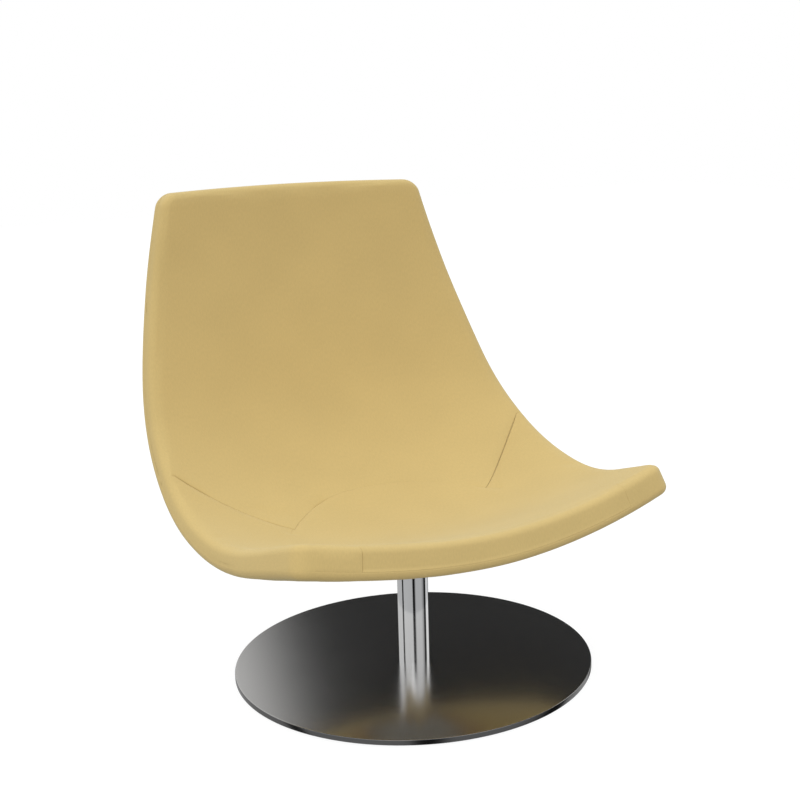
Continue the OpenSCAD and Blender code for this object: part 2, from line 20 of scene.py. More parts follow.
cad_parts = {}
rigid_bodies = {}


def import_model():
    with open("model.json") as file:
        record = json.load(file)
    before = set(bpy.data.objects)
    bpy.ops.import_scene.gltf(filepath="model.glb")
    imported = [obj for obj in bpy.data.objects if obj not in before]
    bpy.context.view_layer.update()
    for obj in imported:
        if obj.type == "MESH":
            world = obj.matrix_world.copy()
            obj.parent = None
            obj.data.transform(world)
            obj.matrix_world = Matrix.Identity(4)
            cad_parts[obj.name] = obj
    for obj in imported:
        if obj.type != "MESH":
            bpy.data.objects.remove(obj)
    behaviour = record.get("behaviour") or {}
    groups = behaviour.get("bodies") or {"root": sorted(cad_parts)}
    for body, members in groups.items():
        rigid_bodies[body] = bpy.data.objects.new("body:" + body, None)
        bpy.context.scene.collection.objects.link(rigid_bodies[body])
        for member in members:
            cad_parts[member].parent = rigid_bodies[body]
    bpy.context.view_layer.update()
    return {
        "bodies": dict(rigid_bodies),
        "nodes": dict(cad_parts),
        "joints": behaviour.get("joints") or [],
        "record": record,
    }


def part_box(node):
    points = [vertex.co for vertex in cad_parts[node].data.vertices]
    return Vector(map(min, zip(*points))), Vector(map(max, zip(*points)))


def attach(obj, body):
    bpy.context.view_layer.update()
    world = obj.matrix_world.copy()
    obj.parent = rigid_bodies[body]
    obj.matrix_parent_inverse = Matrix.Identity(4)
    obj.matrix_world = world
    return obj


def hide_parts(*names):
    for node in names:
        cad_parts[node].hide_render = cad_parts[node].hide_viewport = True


LOG = logging.getLogger("armchair")
MM = 0.001
# A wave texture of this scale has one band a metre
WAVE_SCALE = math.pi / 10
# Share of a zone beside a seam that holds no even lines
SEAM_ROOM = 0.045
# Share of a step within which an even line gives way to a line that is kept
CLOSE_SHARE = 0.3
# Slack for shares that have been rounded
ROUNDING = 1e-4
# Distance in mm between the spots that stand for a seam
SPOT_STEP = 0.4
# Edges of turned and lofted pieces that turn more than this stay crisp
TURNED_SHARP_DEG = 30.0
LOFTED_SHARP_DEG = 28.0
Colour = tuple[float, float, float, float]
Face = tuple[int, ...]
Bodies = dict[str, bpy.types.Object]
Socket = bpy.types.NodeSocket


class Ray(Enum):
    """Rays for which a surface may answer differently, as outputs of Light Path."""

    CAMERA = "Is Camera Ray"
    GLOSSY = "Is Glossy Ray"
    TRANSMISSION = "Is Transmission Ray"


class Cover(Enum):
    """The sewn pieces of the cover and the CAD nodes that they stand for."""

    SEAT = "seat_panel"
    BACK = "back_panel"
    LEFT = "left_corner_panel"
    RIGHT = "right_corner_panel"
    OUTER = "outer_cover"


def srgb(code: str) -> Colour:
    """Turns an sRGB colour into the linear colour that a shader takes.

    Args:
        code: The colour as "#rrggbb".

    Returns:
        Linear red, green, blue and an alpha of 1.
    """
    levels = [int(code[k:k + 2], 16) / 255 for k in (1, 3, 5)]
    linear = [c / 12.92 if c <= 0.04045 else ((c + 0.055) / 1.055) ** 2.4 for c in levels]
    return (*linear, 1.0)


@dataclass(frozen=True)
class Tree:
    """A node tree and short ways to add the nodes that recur in it."""

    own: bpy.types.NodeTree

    def put(self, kind: str, inputs: dict | None = None, **settings: object) -> bpy.types.Node:
        """Adds a node, sets it up and links it.

        Args:
            kind: The node's type.
            inputs: A value or an output socket for each input, by name or number.
            **settings: The node's own properties.

        Returns:
            The new node.
        """
        made = self.own.nodes.new(kind)
        for name, value in settings.items():
            setattr(made, name, value)
        for key, value in (inputs or {}).items():
            if isinstance(value, Socket):
                self.own.links.new(value, made.inputs[key])
            else:
                made.inputs[key].default_value = value
        return made

    def link(self, value: Socket, shader: bpy.types.Node, name: str) -> None:
        """Links a value to a shader's named input."""
        self.own.links.new(value, shader.inputs[name])

    def math(self, kind: str, *values: Socket | float) -> Socket:
        """Adds a calculation over values and returns its result."""
        return self.put("ShaderNodeMath", dict(enumerate(values)), operation=kind).outputs[0]

    def span(self, value: Socket, low: float, high: float, start: float = 0.0,
             stop: float = 1.0) -> Socket:
        """Maps a level between start and stop to one between low and high."""
        return self.put("ShaderNodeMapRange", {
            "Value": value, "From Min": start, "From Max": stop, "To Min": low,
            "To Max": high}).outputs["Result"]

    def mix(self, factor: Socket, first: Socket | Colour, second: Socket | Colour) -> Socket:
        """Mixes two colours and returns the result."""
        return self.put("ShaderNodeMix", {"Factor": factor, 6: first, 7: second},
                        data_type="RGBA").outputs[2]

    def blend(self, factor: Socket, first: bpy.types.Node,
              second: bpy.types.Node) -> bpy.types.Node:
        """Mixes two shaders and returns the mixing node."""
        return self.put("ShaderNodeMixShader", {
            0: factor, 1: first.outputs[0], 2: second.outputs[0]})

    def ramp(self, factor: Socket, stops: Sequence[tuple[float, str]],
             smooth: bool = False) -> Socket:
        """Adds a colour ramp.

        Args:
            factor: What the ramp reads.
            stops: Places from 0 to 1 with their sRGB colours.
            smooth: Whether the colours ease into each other.

        Returns:
            The ramp's colour.
        """
        made = self.put("ShaderNodeValToRGB", {"Fac": factor})
        band = made.color_ramp
        band.interpolation = "EASE" if smooth else "LINEAR"
        while len(band.elements) < len(stops):
            band.elements.new(1.0)
        for element, (place, code) in zip(band.elements, stops):
            element.position = place
            element.color = srgb(code)
        return made.outputs["Color"]


@dataclass(frozen=True)
class Grain:
    """Noise of a real size, in millimetres, and the range that its usual levels stand for."""

    size: float
    stretch: tuple[float, float, float] = (1, 1, 1)
    detail: float = 2.0
    low: float = 0.0
    high: float = 1.0
    usual: tuple[float, float] = (0.3, 0.7)

    def level(self, tree: Tree, uv: bool = False) -> Socket:
        """Adds the noise.

        Args:
            tree: The material's node tree.
            uv: Whether the noise follows the piece's flat pattern.

        Returns:
            The noise's level, from 0 to 1.
        """
        place = tree.put("ShaderNodeTexCoord").outputs["UV" if uv else "Object"]
        scaled = tree.put("ShaderNodeMapping", {
            "Vector": place, "Scale": tuple(1 / (self.size * MM * k) for k in self.stretch)})
        return tree.put("ShaderNodeTexNoise", {
            "Vector": scaled.outputs["Vector"], "Scale": 1.0, "Detail": self.detail,
            "Roughness": 0.5}).outputs["Fac"]

    def ranged(self, tree: Tree, base: float = 0.0, uv: bool = False) -> Socket:
        """Adds the noise and returns its level in the range low to high about a base."""
        return tree.span(self.level(tree, uv), base + self.low, base + self.high, *self.usual)


@dataclass(frozen=True)
class Finish:
    """A material named for what the piece is made of and how it is finished.

    The gloss grain changes the roughness, the tones grain the colour, and the relief
    grain raises the surface by up to relief_depth. Sizes are in millimetres.
    """

    name: str
    colour: str
    roughness: float = 0.5
    metallic: float = 0.0
    gloss: Grain | None = None
    tones: Grain | None = None
    relief: Grain | None = None
    relief_depth: float = 0.0
    relief_strength: float = 0.5

    def material(self) -> bpy.types.Material:
        """Builds the material and returns it."""
        made = bpy.data.materials.new(self.name)
        made.use_nodes = True
        made.node_tree.nodes.clear()
        tree = Tree(made.node_tree)
        shader = tree.put("ShaderNodeBsdfPrincipled", {
            "Base Color": srgb(self.colour), "Roughness": self.roughness,
            "Metallic": self.metallic})
        tree.put("ShaderNodeOutputMaterial", {"Surface": shader.outputs["BSDF"]})
        self.dress(tree, shader)
        made.diffuse_color = srgb(self.colour)
        return made

    def dress(self, tree: Tree, shader: bpy.types.Node) -> None:
        """Adds the finish's own texture.

        Args:
            tree: The material's node tree.
            shader: Its principled shader.
        """
        if self.gloss:
            tree.link(self.gloss.ranged(tree, self.roughness), shader, "Roughness")
        if self.tones:
            self.tint(tree, shader, self.tones.ranged(tree, 1.0))
        if self.relief:
            self.bump(tree, shader, self.relief.level(tree))

    def tint(self, tree: Tree, shader: bpy.types.Node, value: Socket) -> None:
        """Makes the colour lighter or darker by a factor."""
        dyed = tree.put("ShaderNodeHueSaturation", {
            "Color": srgb(self.colour), "Value": value, "Fac": 1.0})
        tree.link(dyed.outputs["Color"], shader, "Base Color")

    def bump(self, tree: Tree, shader: bpy.types.Node, height: Socket) -> None:
        """Raises the surface by a height from 0 to 1 of the relief's depth."""
        raised = tree.put("ShaderNodeBump", {
            "Height": height, "Distance": self.relief_depth * MM,
            "Strength": self.relief_strength})
        tree.link(raised.outputs["Normal"], shader, "Normal")


@dataclass(frozen=True)
class WovenWool(Finish):
    """Plain woven upholstery wool: a fine even weave with a soft, slightly fuzzy face."""

    name: str = "upholstery wool, plain woven"
    colour: str = "#ccb073"
    roughness: float = 0.86
    relief_depth: float = 0.12
    thread: float = 1.1
    wander: Grain = Grain(14.0)
    wander_share: float = 0.12
    fuzz: Grain = Grain(0.5, detail=3.0)
    yarn: Grain = Grain(2.6, (1, 3, 1), low=-0.03, high=0.03)
    clouds: Grain = Grain(130.0, detail=1.0, low=-0.02, high=0.02)
    # Painted shade: how much darker the colour is made at the bottom of a seam's crease
    painted_crease_shade: float = 0.3
    sheen: float = 0.25
    sheen_roughness: float = 0.45
    sheen_tint: str = "#f4fae6"
    specular: float = 0.25

    def dress(self, tree: Tree, shader: bpy.types.Node) -> None:
        """Weaves the threads over the flat pattern, mixes their yarn's tones and paints shade
        into the seams' creases.
        """
        flat = tree.put("ShaderNodeTexCoord").outputs["UV"]
        thread = self.thread * MM
        reach = self.wander_share * thread
        wobble = tree.span(self.wander.level(tree, uv=True), -reach, reach)
        spots = tree.put("ShaderNodeVectorMath", {0: flat, 1: wobble}, operation="ADD")
        bands = [
            tree.put("ShaderNodeTexWave", {
                "Vector": spots.outputs["Vector"], "Scale": WAVE_SCALE / thread,
                "Distortion": 0.0}, bands_direction=way).outputs["Fac"]
            for way in ("X", "Y")]
        weave = tree.math("MAXIMUM", *bands)
        self.bump(tree, shader, tree.math("ADD", weave, self.fuzz.level(tree, uv=True)))
        mixed = tree.math("ADD", self.yarn.ranged(tree, uv=True),
                          self.clouds.ranged(tree, uv=True))
        # Painted shade: the colour is darkened where the cover is drawn into a seam, by the
        # crease's depth
        crease = tree.put("ShaderNodeAttribute", attribute_name="crease").outputs["Fac"]
        shaded = tree.math("MULTIPLY_ADD", crease, -self.painted_crease_shade, 1.0)
        self.tint(tree, shader, tree.math("ADD", mixed, shaded))
        shader.inputs["Sheen Weight"].default_value = self.sheen
        shader.inputs["Sheen Roughness"].default_value = self.sheen_roughness
        shader.inputs["Sheen Tint"].default_value = srgb(self.sheen_tint)
        shader.inputs["Specular IOR Level"].default_value = self.specular


@dataclass(frozen=True)
class SatinSteel(Finish):
    """Fine-ground steel plate with soft blurred reflections and painted shade that darkens its
    rim.
    """

    name: str = "base plate steel, dark satin"
    colour: str = "#d0cfcd"
    roughness: float = 0.18
    metallic: float = 1.0
    gloss: Grain = Grain(90.0, low=-0.004, high=0.004)
    relief: Grain = Grain(0.7, (14, 1, 1), low=-0.012, high=0.012)
    relief_depth: float = 0.004
    relief_strength: float = 0.4
    # Painted shade: the rim's darker colour stands in for the dark room that the rim reflects
    painted_rim_shade: str = "#767676"
    rim_from: float = 349.4
    rim_blend: float = 0.4

    def dress(self, tree: Tree, shader: bpy.types.Node) -> None:
        """Adds the grinding's grain, a faint change of gloss and the painted shade on the rim."""
        place = tree.put("ShaderNodeTexCoord").outputs["Object"]
        flat = tree.put("ShaderNodeVectorMath", {0: place, 1: (1.0, 1.0, 0.0)},
                        operation="MULTIPLY").outputs["Vector"]
        reach = tree.put("ShaderNodeVectorMath", {0: flat}, operation="LENGTH")
        # Painted shade: the colour turns to the darker rim colour from rim_from outwards, over
        # rim_blend mm
        rim = tree.span(reach.outputs["Value"], 0.0, 1.0,
                        (self.rim_from - self.rim_blend) * MM, self.rim_from * MM)
        tree.link(tree.mix(rim, srgb(self.colour), srgb(self.painted_rim_shade)), shader, "Base Color")
        gloss = tree.math("ADD", self.relief.ranged(tree),
                          self.gloss.ranged(tree, self.roughness))
        tree.link(gloss, shader, "Roughness")
        self.bump(tree, shader, self.relief.level(tree))


@dataclass(frozen=True)
class PolishedChrome(Finish):
    """Bright chromed tube with the faint lengthwise lines of its polishing."""

    name: str = "column chrome, polished"
    colour: str = "#e9eaec"
    roughness: float = 0.07
    metallic: float = 1.0
    gloss: Grain = Grain(0.9, (1, 1, 60), low=-0.02, high=0.03)


@dataclass(frozen=True)
class TurnedSteel(Finish):
    """Machined metal with the fine rings that turning leaves and small stains of oil."""

    name: str = "hardware steel, turned"
    colour: str = "#9c9da0"
    roughness: float = 0.34
    metallic: float = 1.0
    gloss: Grain = Grain(7.0, detail=3.0, low=-0.06, high=0.1)
    relief: Grain = Grain(0.5, (30, 30, 1))
    relief_depth: float = 0.01


@dataclass(frozen=True)
class PowderCoat(Finish):
    """Coated steel: matt, with a very fine orange peel."""

    name: str = "retaining ring steel, blackened"
    colour: str = "#232322"
    roughness: float = 0.55
    gloss: Grain = Grain(1.4, low=-0.05, high=0.07)
    relief: Grain = Grain(1.4)
    relief_depth: float = 0.03


@dataclass(frozen=True)
class Moulded(Finish):
    """A moulded piece, plastic or rubber, with a faint grain and a slight change of tone."""

    name: str = "bush plastic, moulded"
    colour: str = "#d9d5c8"
    tones: Grain = Grain(22.0, low=-0.06, high=0.05)
    relief: Grain = Grain(0.9)
    relief_depth: float = 0.05


@dataclass(frozen=True)
class CellFoam(Finish):
    """Moulded seat foam: open cells under a thin skin."""

    name: str = "seat foam, moulded"
    colour: str = "#e6dcc0"
    roughness: float = 0.95
    relief_depth: float = 0.4
    relief_strength: float = 0.6
    cell: float = 1.6
    cell_colour: str = "#cdbf9b"
    wall_from: float = 0.6

    def dress(self, tree: Tree, shader: bpy.types.Node) -> None:
        """Adds the cells."""
        place = tree.put("ShaderNodeTexCoord").outputs["Object"]
        cells = tree.put("ShaderNodeTexVoronoi", {
            "Vector": place, "Scale": 1 / (self.cell * MM)}).outputs["Distance"]
        tree.link(tree.ramp(cells, [(0.0, self.cell_colour), (self.wall_from, self.colour)]),
                  shader, "Base Color")
        self.bump(tree, shader, cells)


@dataclass(frozen=True)
class BirchPly(Finish):
    """Moulded birch plywood: pale face grain and thin dark glue lines on the edges."""

    name: str = "shell plywood, birch"
    colour: str = "#c8a677"
    roughness: float = 0.6
    relief: Grain = Grain(2.4, (1, 26, 2), 4.0)
    relief_depth: float = 0.05
    veneer: float = 1.5
    veneer_wander: float = 0.4
    veneer_shade: float = 0.22
    glue_colour: str = "#7c5a34"
    grain_colours: tuple[tuple[float, str], ...] = ((0.25, "#a98452"), (0.75, "#d9bb8c"))

    def dress(self, tree: Tree, shader: bpy.types.Node) -> None:
        """Adds the grain along the shell and the stacked veneers."""
        grain = self.relief.level(tree)
        place = tree.put("ShaderNodeTexCoord").outputs["Object"]
        layers = tree.put("ShaderNodeTexWave", {
            "Vector": place, "Scale": WAVE_SCALE / (self.veneer * MM),
            "Distortion": self.veneer_wander}, bands_direction="Z").outputs["Fac"]
        light = tree.ramp(grain, self.grain_colours, smooth=True)
        glue = tree.span(layers, 0.0, self.veneer_shade, *self.relief.usual)
        tree.link(tree.mix(glue, light, srgb(self.glue_colour)), shader, "Base Color")
        self.bump(tree, shader, grain)


class Finishes:
    """Every finish of the chair, made once."""

    def __init__(self) -> None:
        """Builds the materials."""
        self.cloth = WovenWool().material()
        self.plate = SatinSteel().material()
        self.chrome = PolishedChrome().material()
        self.steel = TurnedSteel().material()
        self.black = PowderCoat().material()
        self.grey = PowderCoat("seat plate steel, powder coated", "#b4b0a6", 0.5).material()
        self.plastic = Moulded().material()
        self.rubber = Moulded("floor pad rubber, matt", "#2a2a2b", 0.8,
                              relief=Grain(1.6)).material()
        self.brass = TurnedSteel("insert brass, turned", "#c0a05a", 0.36).material()
        self.wood = BirchPly().material()
        self.foam = CellFoam().material()


def mesh_object(name: str, points: np.ndarray, faces: Iterable[Face],
                material: bpy.types.Material, sharp_deg: float = 40.0) -> bpy.types.Object:
    """Makes a smooth-shaded object from points in millimetres.

    Args:
        name: The piece's name.
        points: Its vertices.
        faces: Its faces, anticlockwise from outside.
        material: Its finish.
        sharp_deg: Edges that turn more than this stay crisp.

    Returns:
        The object, at the origin.
    """
    mesh = bpy.data.meshes.new(name)
    mesh.from_pydata((points * MM).tolist(), [], list(faces))
    mesh.materials.append(material)
    mesh.polygons.foreach_set("use_smooth", [True] * len(mesh.polygons))
    mesh.set_sharp_from_angle(angle=math.radians(sharp_deg))
    mesh.update()
    made = bpy.data.objects.new(name, mesh)
    bpy.context.scene.collection.objects.link(made)
    return made


def settle(piece: bpy.types.Object, body: str, slot: str, *nodes: str) -> bpy.types.Object:
    """Hangs a piece on its CAD body in place of CAD nodes.

    Args:
        piece: The piece.
        body: The body that it rides on.
        slot: The record's material slot; not used.
        *nodes: The CAD nodes that it stands for.

    Returns:
        The piece.
    """
    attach(piece, body)
    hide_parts(*nodes)
    LOG.info("%s rides on %s for %s", piece.name, body, ", ".join(nodes))
    return piece


def vertex_normals(points: np.ndarray, faces: Sequence[Face]) -> np.ndarray:
    """Gives the unit normal of each vertex.

    Args:
        points: The vertices.
        faces: Triangles and quads, anticlockwise from outside.

    Returns:
        One normal a vertex.
    """
    corners = np.array([f if len(f) == 4 else (*f, f[2]) for f in faces])
    a, b, c, d = (points[corners[:, k]] for k in range(4))
    across = np.cross(c - a, d - b)
    total = np.zeros_like(points)
    for k in range(4):
        np.add.at(total, corners[:, k], across)
    return total / np.maximum(np.linalg.norm(total, axis=1, keepdims=True), 1e-9)


@dataclass(frozen=True)
class ShellForm:
    """The curved shell that seat, back, foam and covers follow, as in the CAD source.

    Slopes, widths and rises stand at even stations from the lip to the top edge.
    """

    length: float = 1192.0
    lip_y: float = 319.0
    lip_z: float = 363.0
    half_width: float = 420.0
    wing_rise: float = 72.0
    lip_thickness: float = 62.0
    wall_thickness: float = 46.0
    edge_radius: float = 16.0
    corner_radius: float = 28.0
    front_sweep: float = 15.0
    top_sweep: float = 7.0
    core_thickness: float = 9.0
    slopes_deg: tuple[float, ...] = (-18, -16, 10, 40, 69, 78, 86)
    width_shares: tuple[float, ...] = (0.92, 0.98, 1, 0.975, 0.915, 0.81, 0.685)
    rise_shares: tuple[float, ...] = (0.8, 0.82, 1, 1, 0.76, 0.5, 0.42)
    wing_power: float = 1.85
    lip_blend_share: float = 0.35
    panel_rear_share: float = 0.52
    panel_front_share: float = 0.72
    panel_taper: float = 0.65
    panel_length_share: float = 0.427
    arc_drop_share: float = 0.096
    arc_power: float = 2.4
    dart_rise_share: float = 0.17
    dart_power: float = 1.12
    line_steps: int = 1920

    @staticmethod
    def spline(values: Sequence[float], s: np.ndarray) -> np.ndarray:
        """Smooth curve through evenly spaced values, at shares of their length.

        Args:
            values: The values at even stations.
            s: Where the curve is read, from 0 to 1.

        Returns:
            The curve's values.
        """
        v = np.asarray(values, float)
        last = len(v) - 1
        x = np.clip(s, 0, 1) * last
        k = np.minimum(np.floor(x), last - 1).astype(int)
        t = x - k
        lean = np.concatenate([[v[1] - v[0]], (v[2:] - v[:-2]) / 2, [v[-1] - v[-2]]])
        return ((2 * t**3 - 3 * t**2 + 1) * v[k] + (t**3 - 2 * t**2 + t) * lean[k]
                + (3 * t**2 - 2 * t**3) * v[k + 1] + (t**3 - t**2) * lean[k + 1])

    def centre_line(self) -> np.ndarray:
        """Gives the centre line of the upper face as (y, z) at even steps."""
        angle = np.radians(self.spline(self.slopes_deg, np.linspace(0, 1, self.line_steps + 1)))
        step = self.length / self.line_steps / 2
        run = np.concatenate([[0], np.cumsum(step * (np.cos(angle[1:]) + np.cos(angle[:-1])))])
        climb = np.concatenate([[0], np.cumsum(step * (np.sin(angle[1:]) + np.sin(angle[:-1])))])
        return np.stack([run - self.lip_y, climb + self.lip_z], axis=1)

    def width(self, s: np.ndarray) -> np.ndarray:
        """Gives the shell's half width at shares s of its length."""
        return self.half_width * self.spline(self.width_shares, s)

    def face(self, u: np.ndarray, s: np.ndarray) -> np.ndarray:
        """Gives points of the upper face.

        Args:
            u: Places across, from -1 to 1.
            s: Places along, from 0 at the lip to 1 at the top.

        Returns:
            The points.
        """
        line = self.centre_line()
        angle = np.radians(self.spline(self.slopes_deg, s))
        inside = np.clip(s, 0, 1)
        past = (s - inside) * self.length
        even = np.linspace(0, 1, self.line_steps + 1)
        y = np.interp(inside, even, line[:, 0]) + past * np.cos(angle)
        z = np.interp(inside, even, line[:, 1]) + past * np.sin(angle)
        rise = (self.wing_rise * self.spline(self.rise_shares, s)
                * np.abs(u) ** self.wing_power)
        return np.stack([u * self.width(s), y - np.sin(angle) * rise,
                         z + np.cos(angle) * rise], axis=-1)

    def normal(self, u: np.ndarray, s: np.ndarray) -> np.ndarray:
        """Gives the unit normals of the upper face at (u, s)."""
        e = 0.001
        across = self.face(u + e, s) - self.face(u - e, s)
        along = self.face(u, s + e) - self.face(u, s - e)
        n = np.cross(across, along)
        return n / np.linalg.norm(n, axis=-1, keepdims=True)

    def thickness(self, s: np.ndarray) -> np.ndarray:
        """Gives the shell's thickness at shares s of its length."""
        lip = np.maximum(1 - np.maximum(s, 0) / self.lip_blend_share, 0) ** 2
        return self.wall_thickness + (self.lip_thickness - self.wall_thickness) * lip

    def place(self, side: np.ndarray, a: np.ndarray,
              b: np.ndarray) -> tuple[np.ndarray, np.ndarray, np.ndarray]:
        """Finds places on the face from the flat pattern of the shell.

        Args:
            side: 1 to the sitter's left and -1 to the right.
            a: Distances from the side edge.
            b: Distances from the front edge.

        Returns:
            The points, their normals and the thickness there.
        """
        u = side * (1 - a / self.width(b / self.length))
        s0 = self.front_sweep * u**2 / self.length
        s1 = 1 - self.top_sweep * u**2 / self.length
        s = s0 + (s1 - s0) * b / self.length
        return self.face(u, s), self.normal(u, s), self.thickness(s)

    def seam_along(self, u: np.ndarray) -> np.ndarray:
        """Gives the seam behind the seat and its darts, as shares of the length."""
        rear = self.panel_rear_share
        arc = self.panel_length_share - self.arc_drop_share * (
            np.minimum(u, rear) / rear) ** self.arc_power
        dart = self.dart_rise_share * (
            np.maximum(u - rear, 0) / (1 - rear)) ** self.dart_power
        return arc + dart

    def seam_distance(self, u: np.ndarray) -> np.ndarray:
        """Gives the same seam as distances from the front edge in the flat pattern."""
        s0 = self.front_sweep * u**2 / self.length
        s1 = 1 - self.top_sweep * u**2 / self.length
        return self.length * (self.seam_along(u) - s0) / (s1 - s0)

    def panel_share(self, f: np.ndarray) -> np.ndarray:
        """Gives the seat panel's half width at a share f of the way to its seam."""
        return self.panel_rear_share + (self.panel_front_share - self.panel_rear_share) * (
            1 - np.minimum(f, 1)) ** self.panel_taper

    @property
    def dart_slant(self) -> float:
        """How far a dart climbs along the shell for each step across it, at the edge."""
        return (self.dart_rise_share * self.dart_power * self.length
                / ((1 - self.panel_rear_share) * self.half_width))


@dataclass(frozen=True)
class Line:
    """A column or row of the mesh: its zone, its share of the zone, and a set-off in mm."""

    zone: int
    share: float
    off: float = 0.0


def lines(zones: Sequence[tuple[int, Sequence[float]]], near: Sequence[float]) -> list[Line]:
    """Lists mesh lines over two zones that meet at a seam.

    Args:
        zones: How many steps each zone has, and shares that lines must pass through.
        near: Distances from the seam, in mm, at which extra lines run beside it.

    Returns:
        The lines in order, the seam among them as (0, 1, 0).
    """
    room = SEAM_ROOM if near else 0.0
    made = []
    for zone, (steps, kept) in enumerate(zones):
        even = [k / steps for k in range(steps + 1)]
        shares = sorted({round(x, 6) for x in even
                         if all(abs(x - y) > CLOSE_SHARE / steps for y in kept)} | set(kept))
        if zone == 0:
            made += [Line(0, x) for x in shares if x < 1 - room]
            made += [Line(0, 1.0, -x) for x in sorted(near, reverse=True)]
            made.append(Line(0, 1.0))
        else:
            made += [Line(1, 0.0, x) for x in sorted(near)]
            made += [Line(1, x) for x in shares if x > room]
    return made


@dataclass
class ShellMesh:
    """The shell's skin as a grid with an edge band, in the layout of the CAD source.

    Columns run from -last_col to last_col and rows from 0 to last_row. Stations go
    round the edge, and rings run down it from the face to the foot of the wall. The
    spacer block's opening takes the patch shares of the seat panel's columns and rows.
    """

    form: ShellForm
    cols: list[Line]
    rows: list[Line]
    corner_steps: int
    arcs: Sequence[float]
    walls: Sequence[float]
    near: Sequence[float]
    patch_cols: float = 0.4938926
    patch_rows: tuple[float, float] = (3 / 7, 6 / 7)
    patch_gap: tuple[float, float] = (0.012, 0.008)
    dart_reach: float = 110.0
    side: np.ndarray = field(init=False)
    a: np.ndarray = field(init=False)
    b: np.ndarray = field(init=False)

    def __post_init__(self) -> None:
        """Works out the places of the grid and the stations."""
        self.seam_col = self.cols.index(Line(0, 1.0))
        self.seam_row = self.rows.index(Line(0, 1.0))
        self.last_col = len(self.cols) - 1
        self.last_row = len(self.rows) - 1
        self.width_count = 2 * self.last_col + 1
        self.height_count = self.last_row + 1
        self.middle_count = self.width_count * self.height_count
        self._grid()
        self._stations()

    def at(self, i: int, j: int) -> int:
        """Gives the number of the grid's vertex on column i and row j."""
        return (i + self.last_col) * self.height_count + j

    def _row_distance(self, u: np.ndarray, row: Line) -> np.ndarray:
        """Gives a row's distance from the front edge at places u across."""
        form = self.form
        seam = form.seam_distance(u)
        near_edge = form.corner_radius
        if row.zone == 0:
            return near_edge + (seam - near_edge) * row.share + row.off
        return seam + (form.length - near_edge - seam) * row.share + row.off

    def _grid(self) -> None:
        """Places every column and row in the flat pattern."""
        form = self.form
        shape = (self.width_count, self.height_count)
        self.side = np.ones(shape)
        self.a = np.zeros(shape)
        self.b = np.zeros(shape)
        rear = np.array(form.panel_rear_share)
        span = float(form.seam_distance(rear)) - form.corner_radius
        for j, row in enumerate(self.rows):
            f = min(1.0, row.share + row.off / span) if row.zone == 0 else 1.0
            seam_u = float(form.panel_share(np.array(f)))
            here = self._row_distance(np.array(seam_u), row) / form.length
            wide = float(form.width(here))
            edge_u = 1 - form.corner_radius / wide
            u = np.array([
                (seam_u * c.share if c.zone == 0 else seam_u + (edge_u - seam_u) * c.share)
                + c.off / wide for c in self.cols])
            b = self._row_distance(u, row)
            a = (1 - u) * form.width(b / form.length)
            a[-1] = form.corner_radius
            middle = self.last_col
            self.a[middle:, j], self.b[middle:, j] = a, b
            self.a[middle::-1, j], self.b[middle::-1, j] = a, b
            self.side[:middle, j] = -1

    def _stations(self) -> None:
        """Lists the stations round the edge and how each leans."""
        m, n = self.last_col, self.last_row
        steps = self.corner_steps
        fan = [math.radians(90 * k / (steps + 1)) for k in range(1, steps + 1)]
        columns = range(-m, m + 1)
        found = [(i, 0, 0.0, -1.0) for i in columns]
        found += [(m, 0, math.sin(t), -math.cos(t)) for t in fan]
        found += [(m, j, 1.0, 0.0) for j in range(n + 1)]
        found += [(m, n, math.cos(t), math.sin(t)) for t in fan]
        found += [(-i, n, 0.0, 1.0) for i in columns]
        found += [(-m, n, math.sin(t), math.cos(t)) for t in reversed(fan)][::-1]
        found += [(-m, n - j, 1.0, 0.0) for j in range(n + 1)]
        found += [(-m, 0, math.cos(t), -math.sin(t)) for t in fan]
        self.loop = len(found)
        self.st_i = np.array([s[0] for s in found])
        self.st_j = np.array([s[1] for s in found])
        self.st_x = np.array([s[2] for s in found])
        self.st_y = np.array([s[3] for s in found])
        self.panel_from = m - self.seam_col
        self.panel_to = m + self.seam_col
        self.dart_left = 2 * m + steps + 1 + self.seam_row
        self.dart_right = self.loop - steps - 1 - self.seam_row
        edge_b = self.b[self.st_i + m, self.st_j]
        gap = np.abs(edge_b - self.b[-1, self.seam_row]) / self.dart_reach
        ease = np.where(gap < 1, np.cos(np.minimum(gap, 1) * np.pi / 2) ** 2, 0)
        self.slant = np.where((self.st_x == 1) & (self.st_y == 0), ease, 0) * self.form.dart_slant

    def band(self, inset: np.ndarray) -> tuple[np.ndarray, np.ndarray, np.ndarray]:
        """Finds every station's place at a distance from the edge.

        Args:
            inset: Distance from the edge, in mm.

        Returns:
            The points, normals and thickness of the stations.
        """
        form = self.form
        i = self.st_i + self.last_col
        out = form.corner_radius - inset
        lean = self.slant * np.minimum(out, form.corner_radius - form.edge_radius)
        a, b = self.a[i, self.st_j], self.b[i, self.st_j]
        beyond = b + out * self.st_y + lean
        before, after = form.width(b / form.length), form.width(beyond / form.length)
        inward = (a - form.corner_radius) / (before - form.corner_radius)
        spread = np.where(self.st_x == 0, a * (after / before - 1) * inward, 0)
        return form.place(self.side[i, self.st_j], a + spread - out * self.st_x, beyond)

    def middle(self) -> tuple[np.ndarray, np.ndarray, np.ndarray]:
        """Gives the points, normals and thickness of the grid, one a vertex."""
        return self.form.place(self.side.ravel(), self.a.ravel(), self.b.ravel())

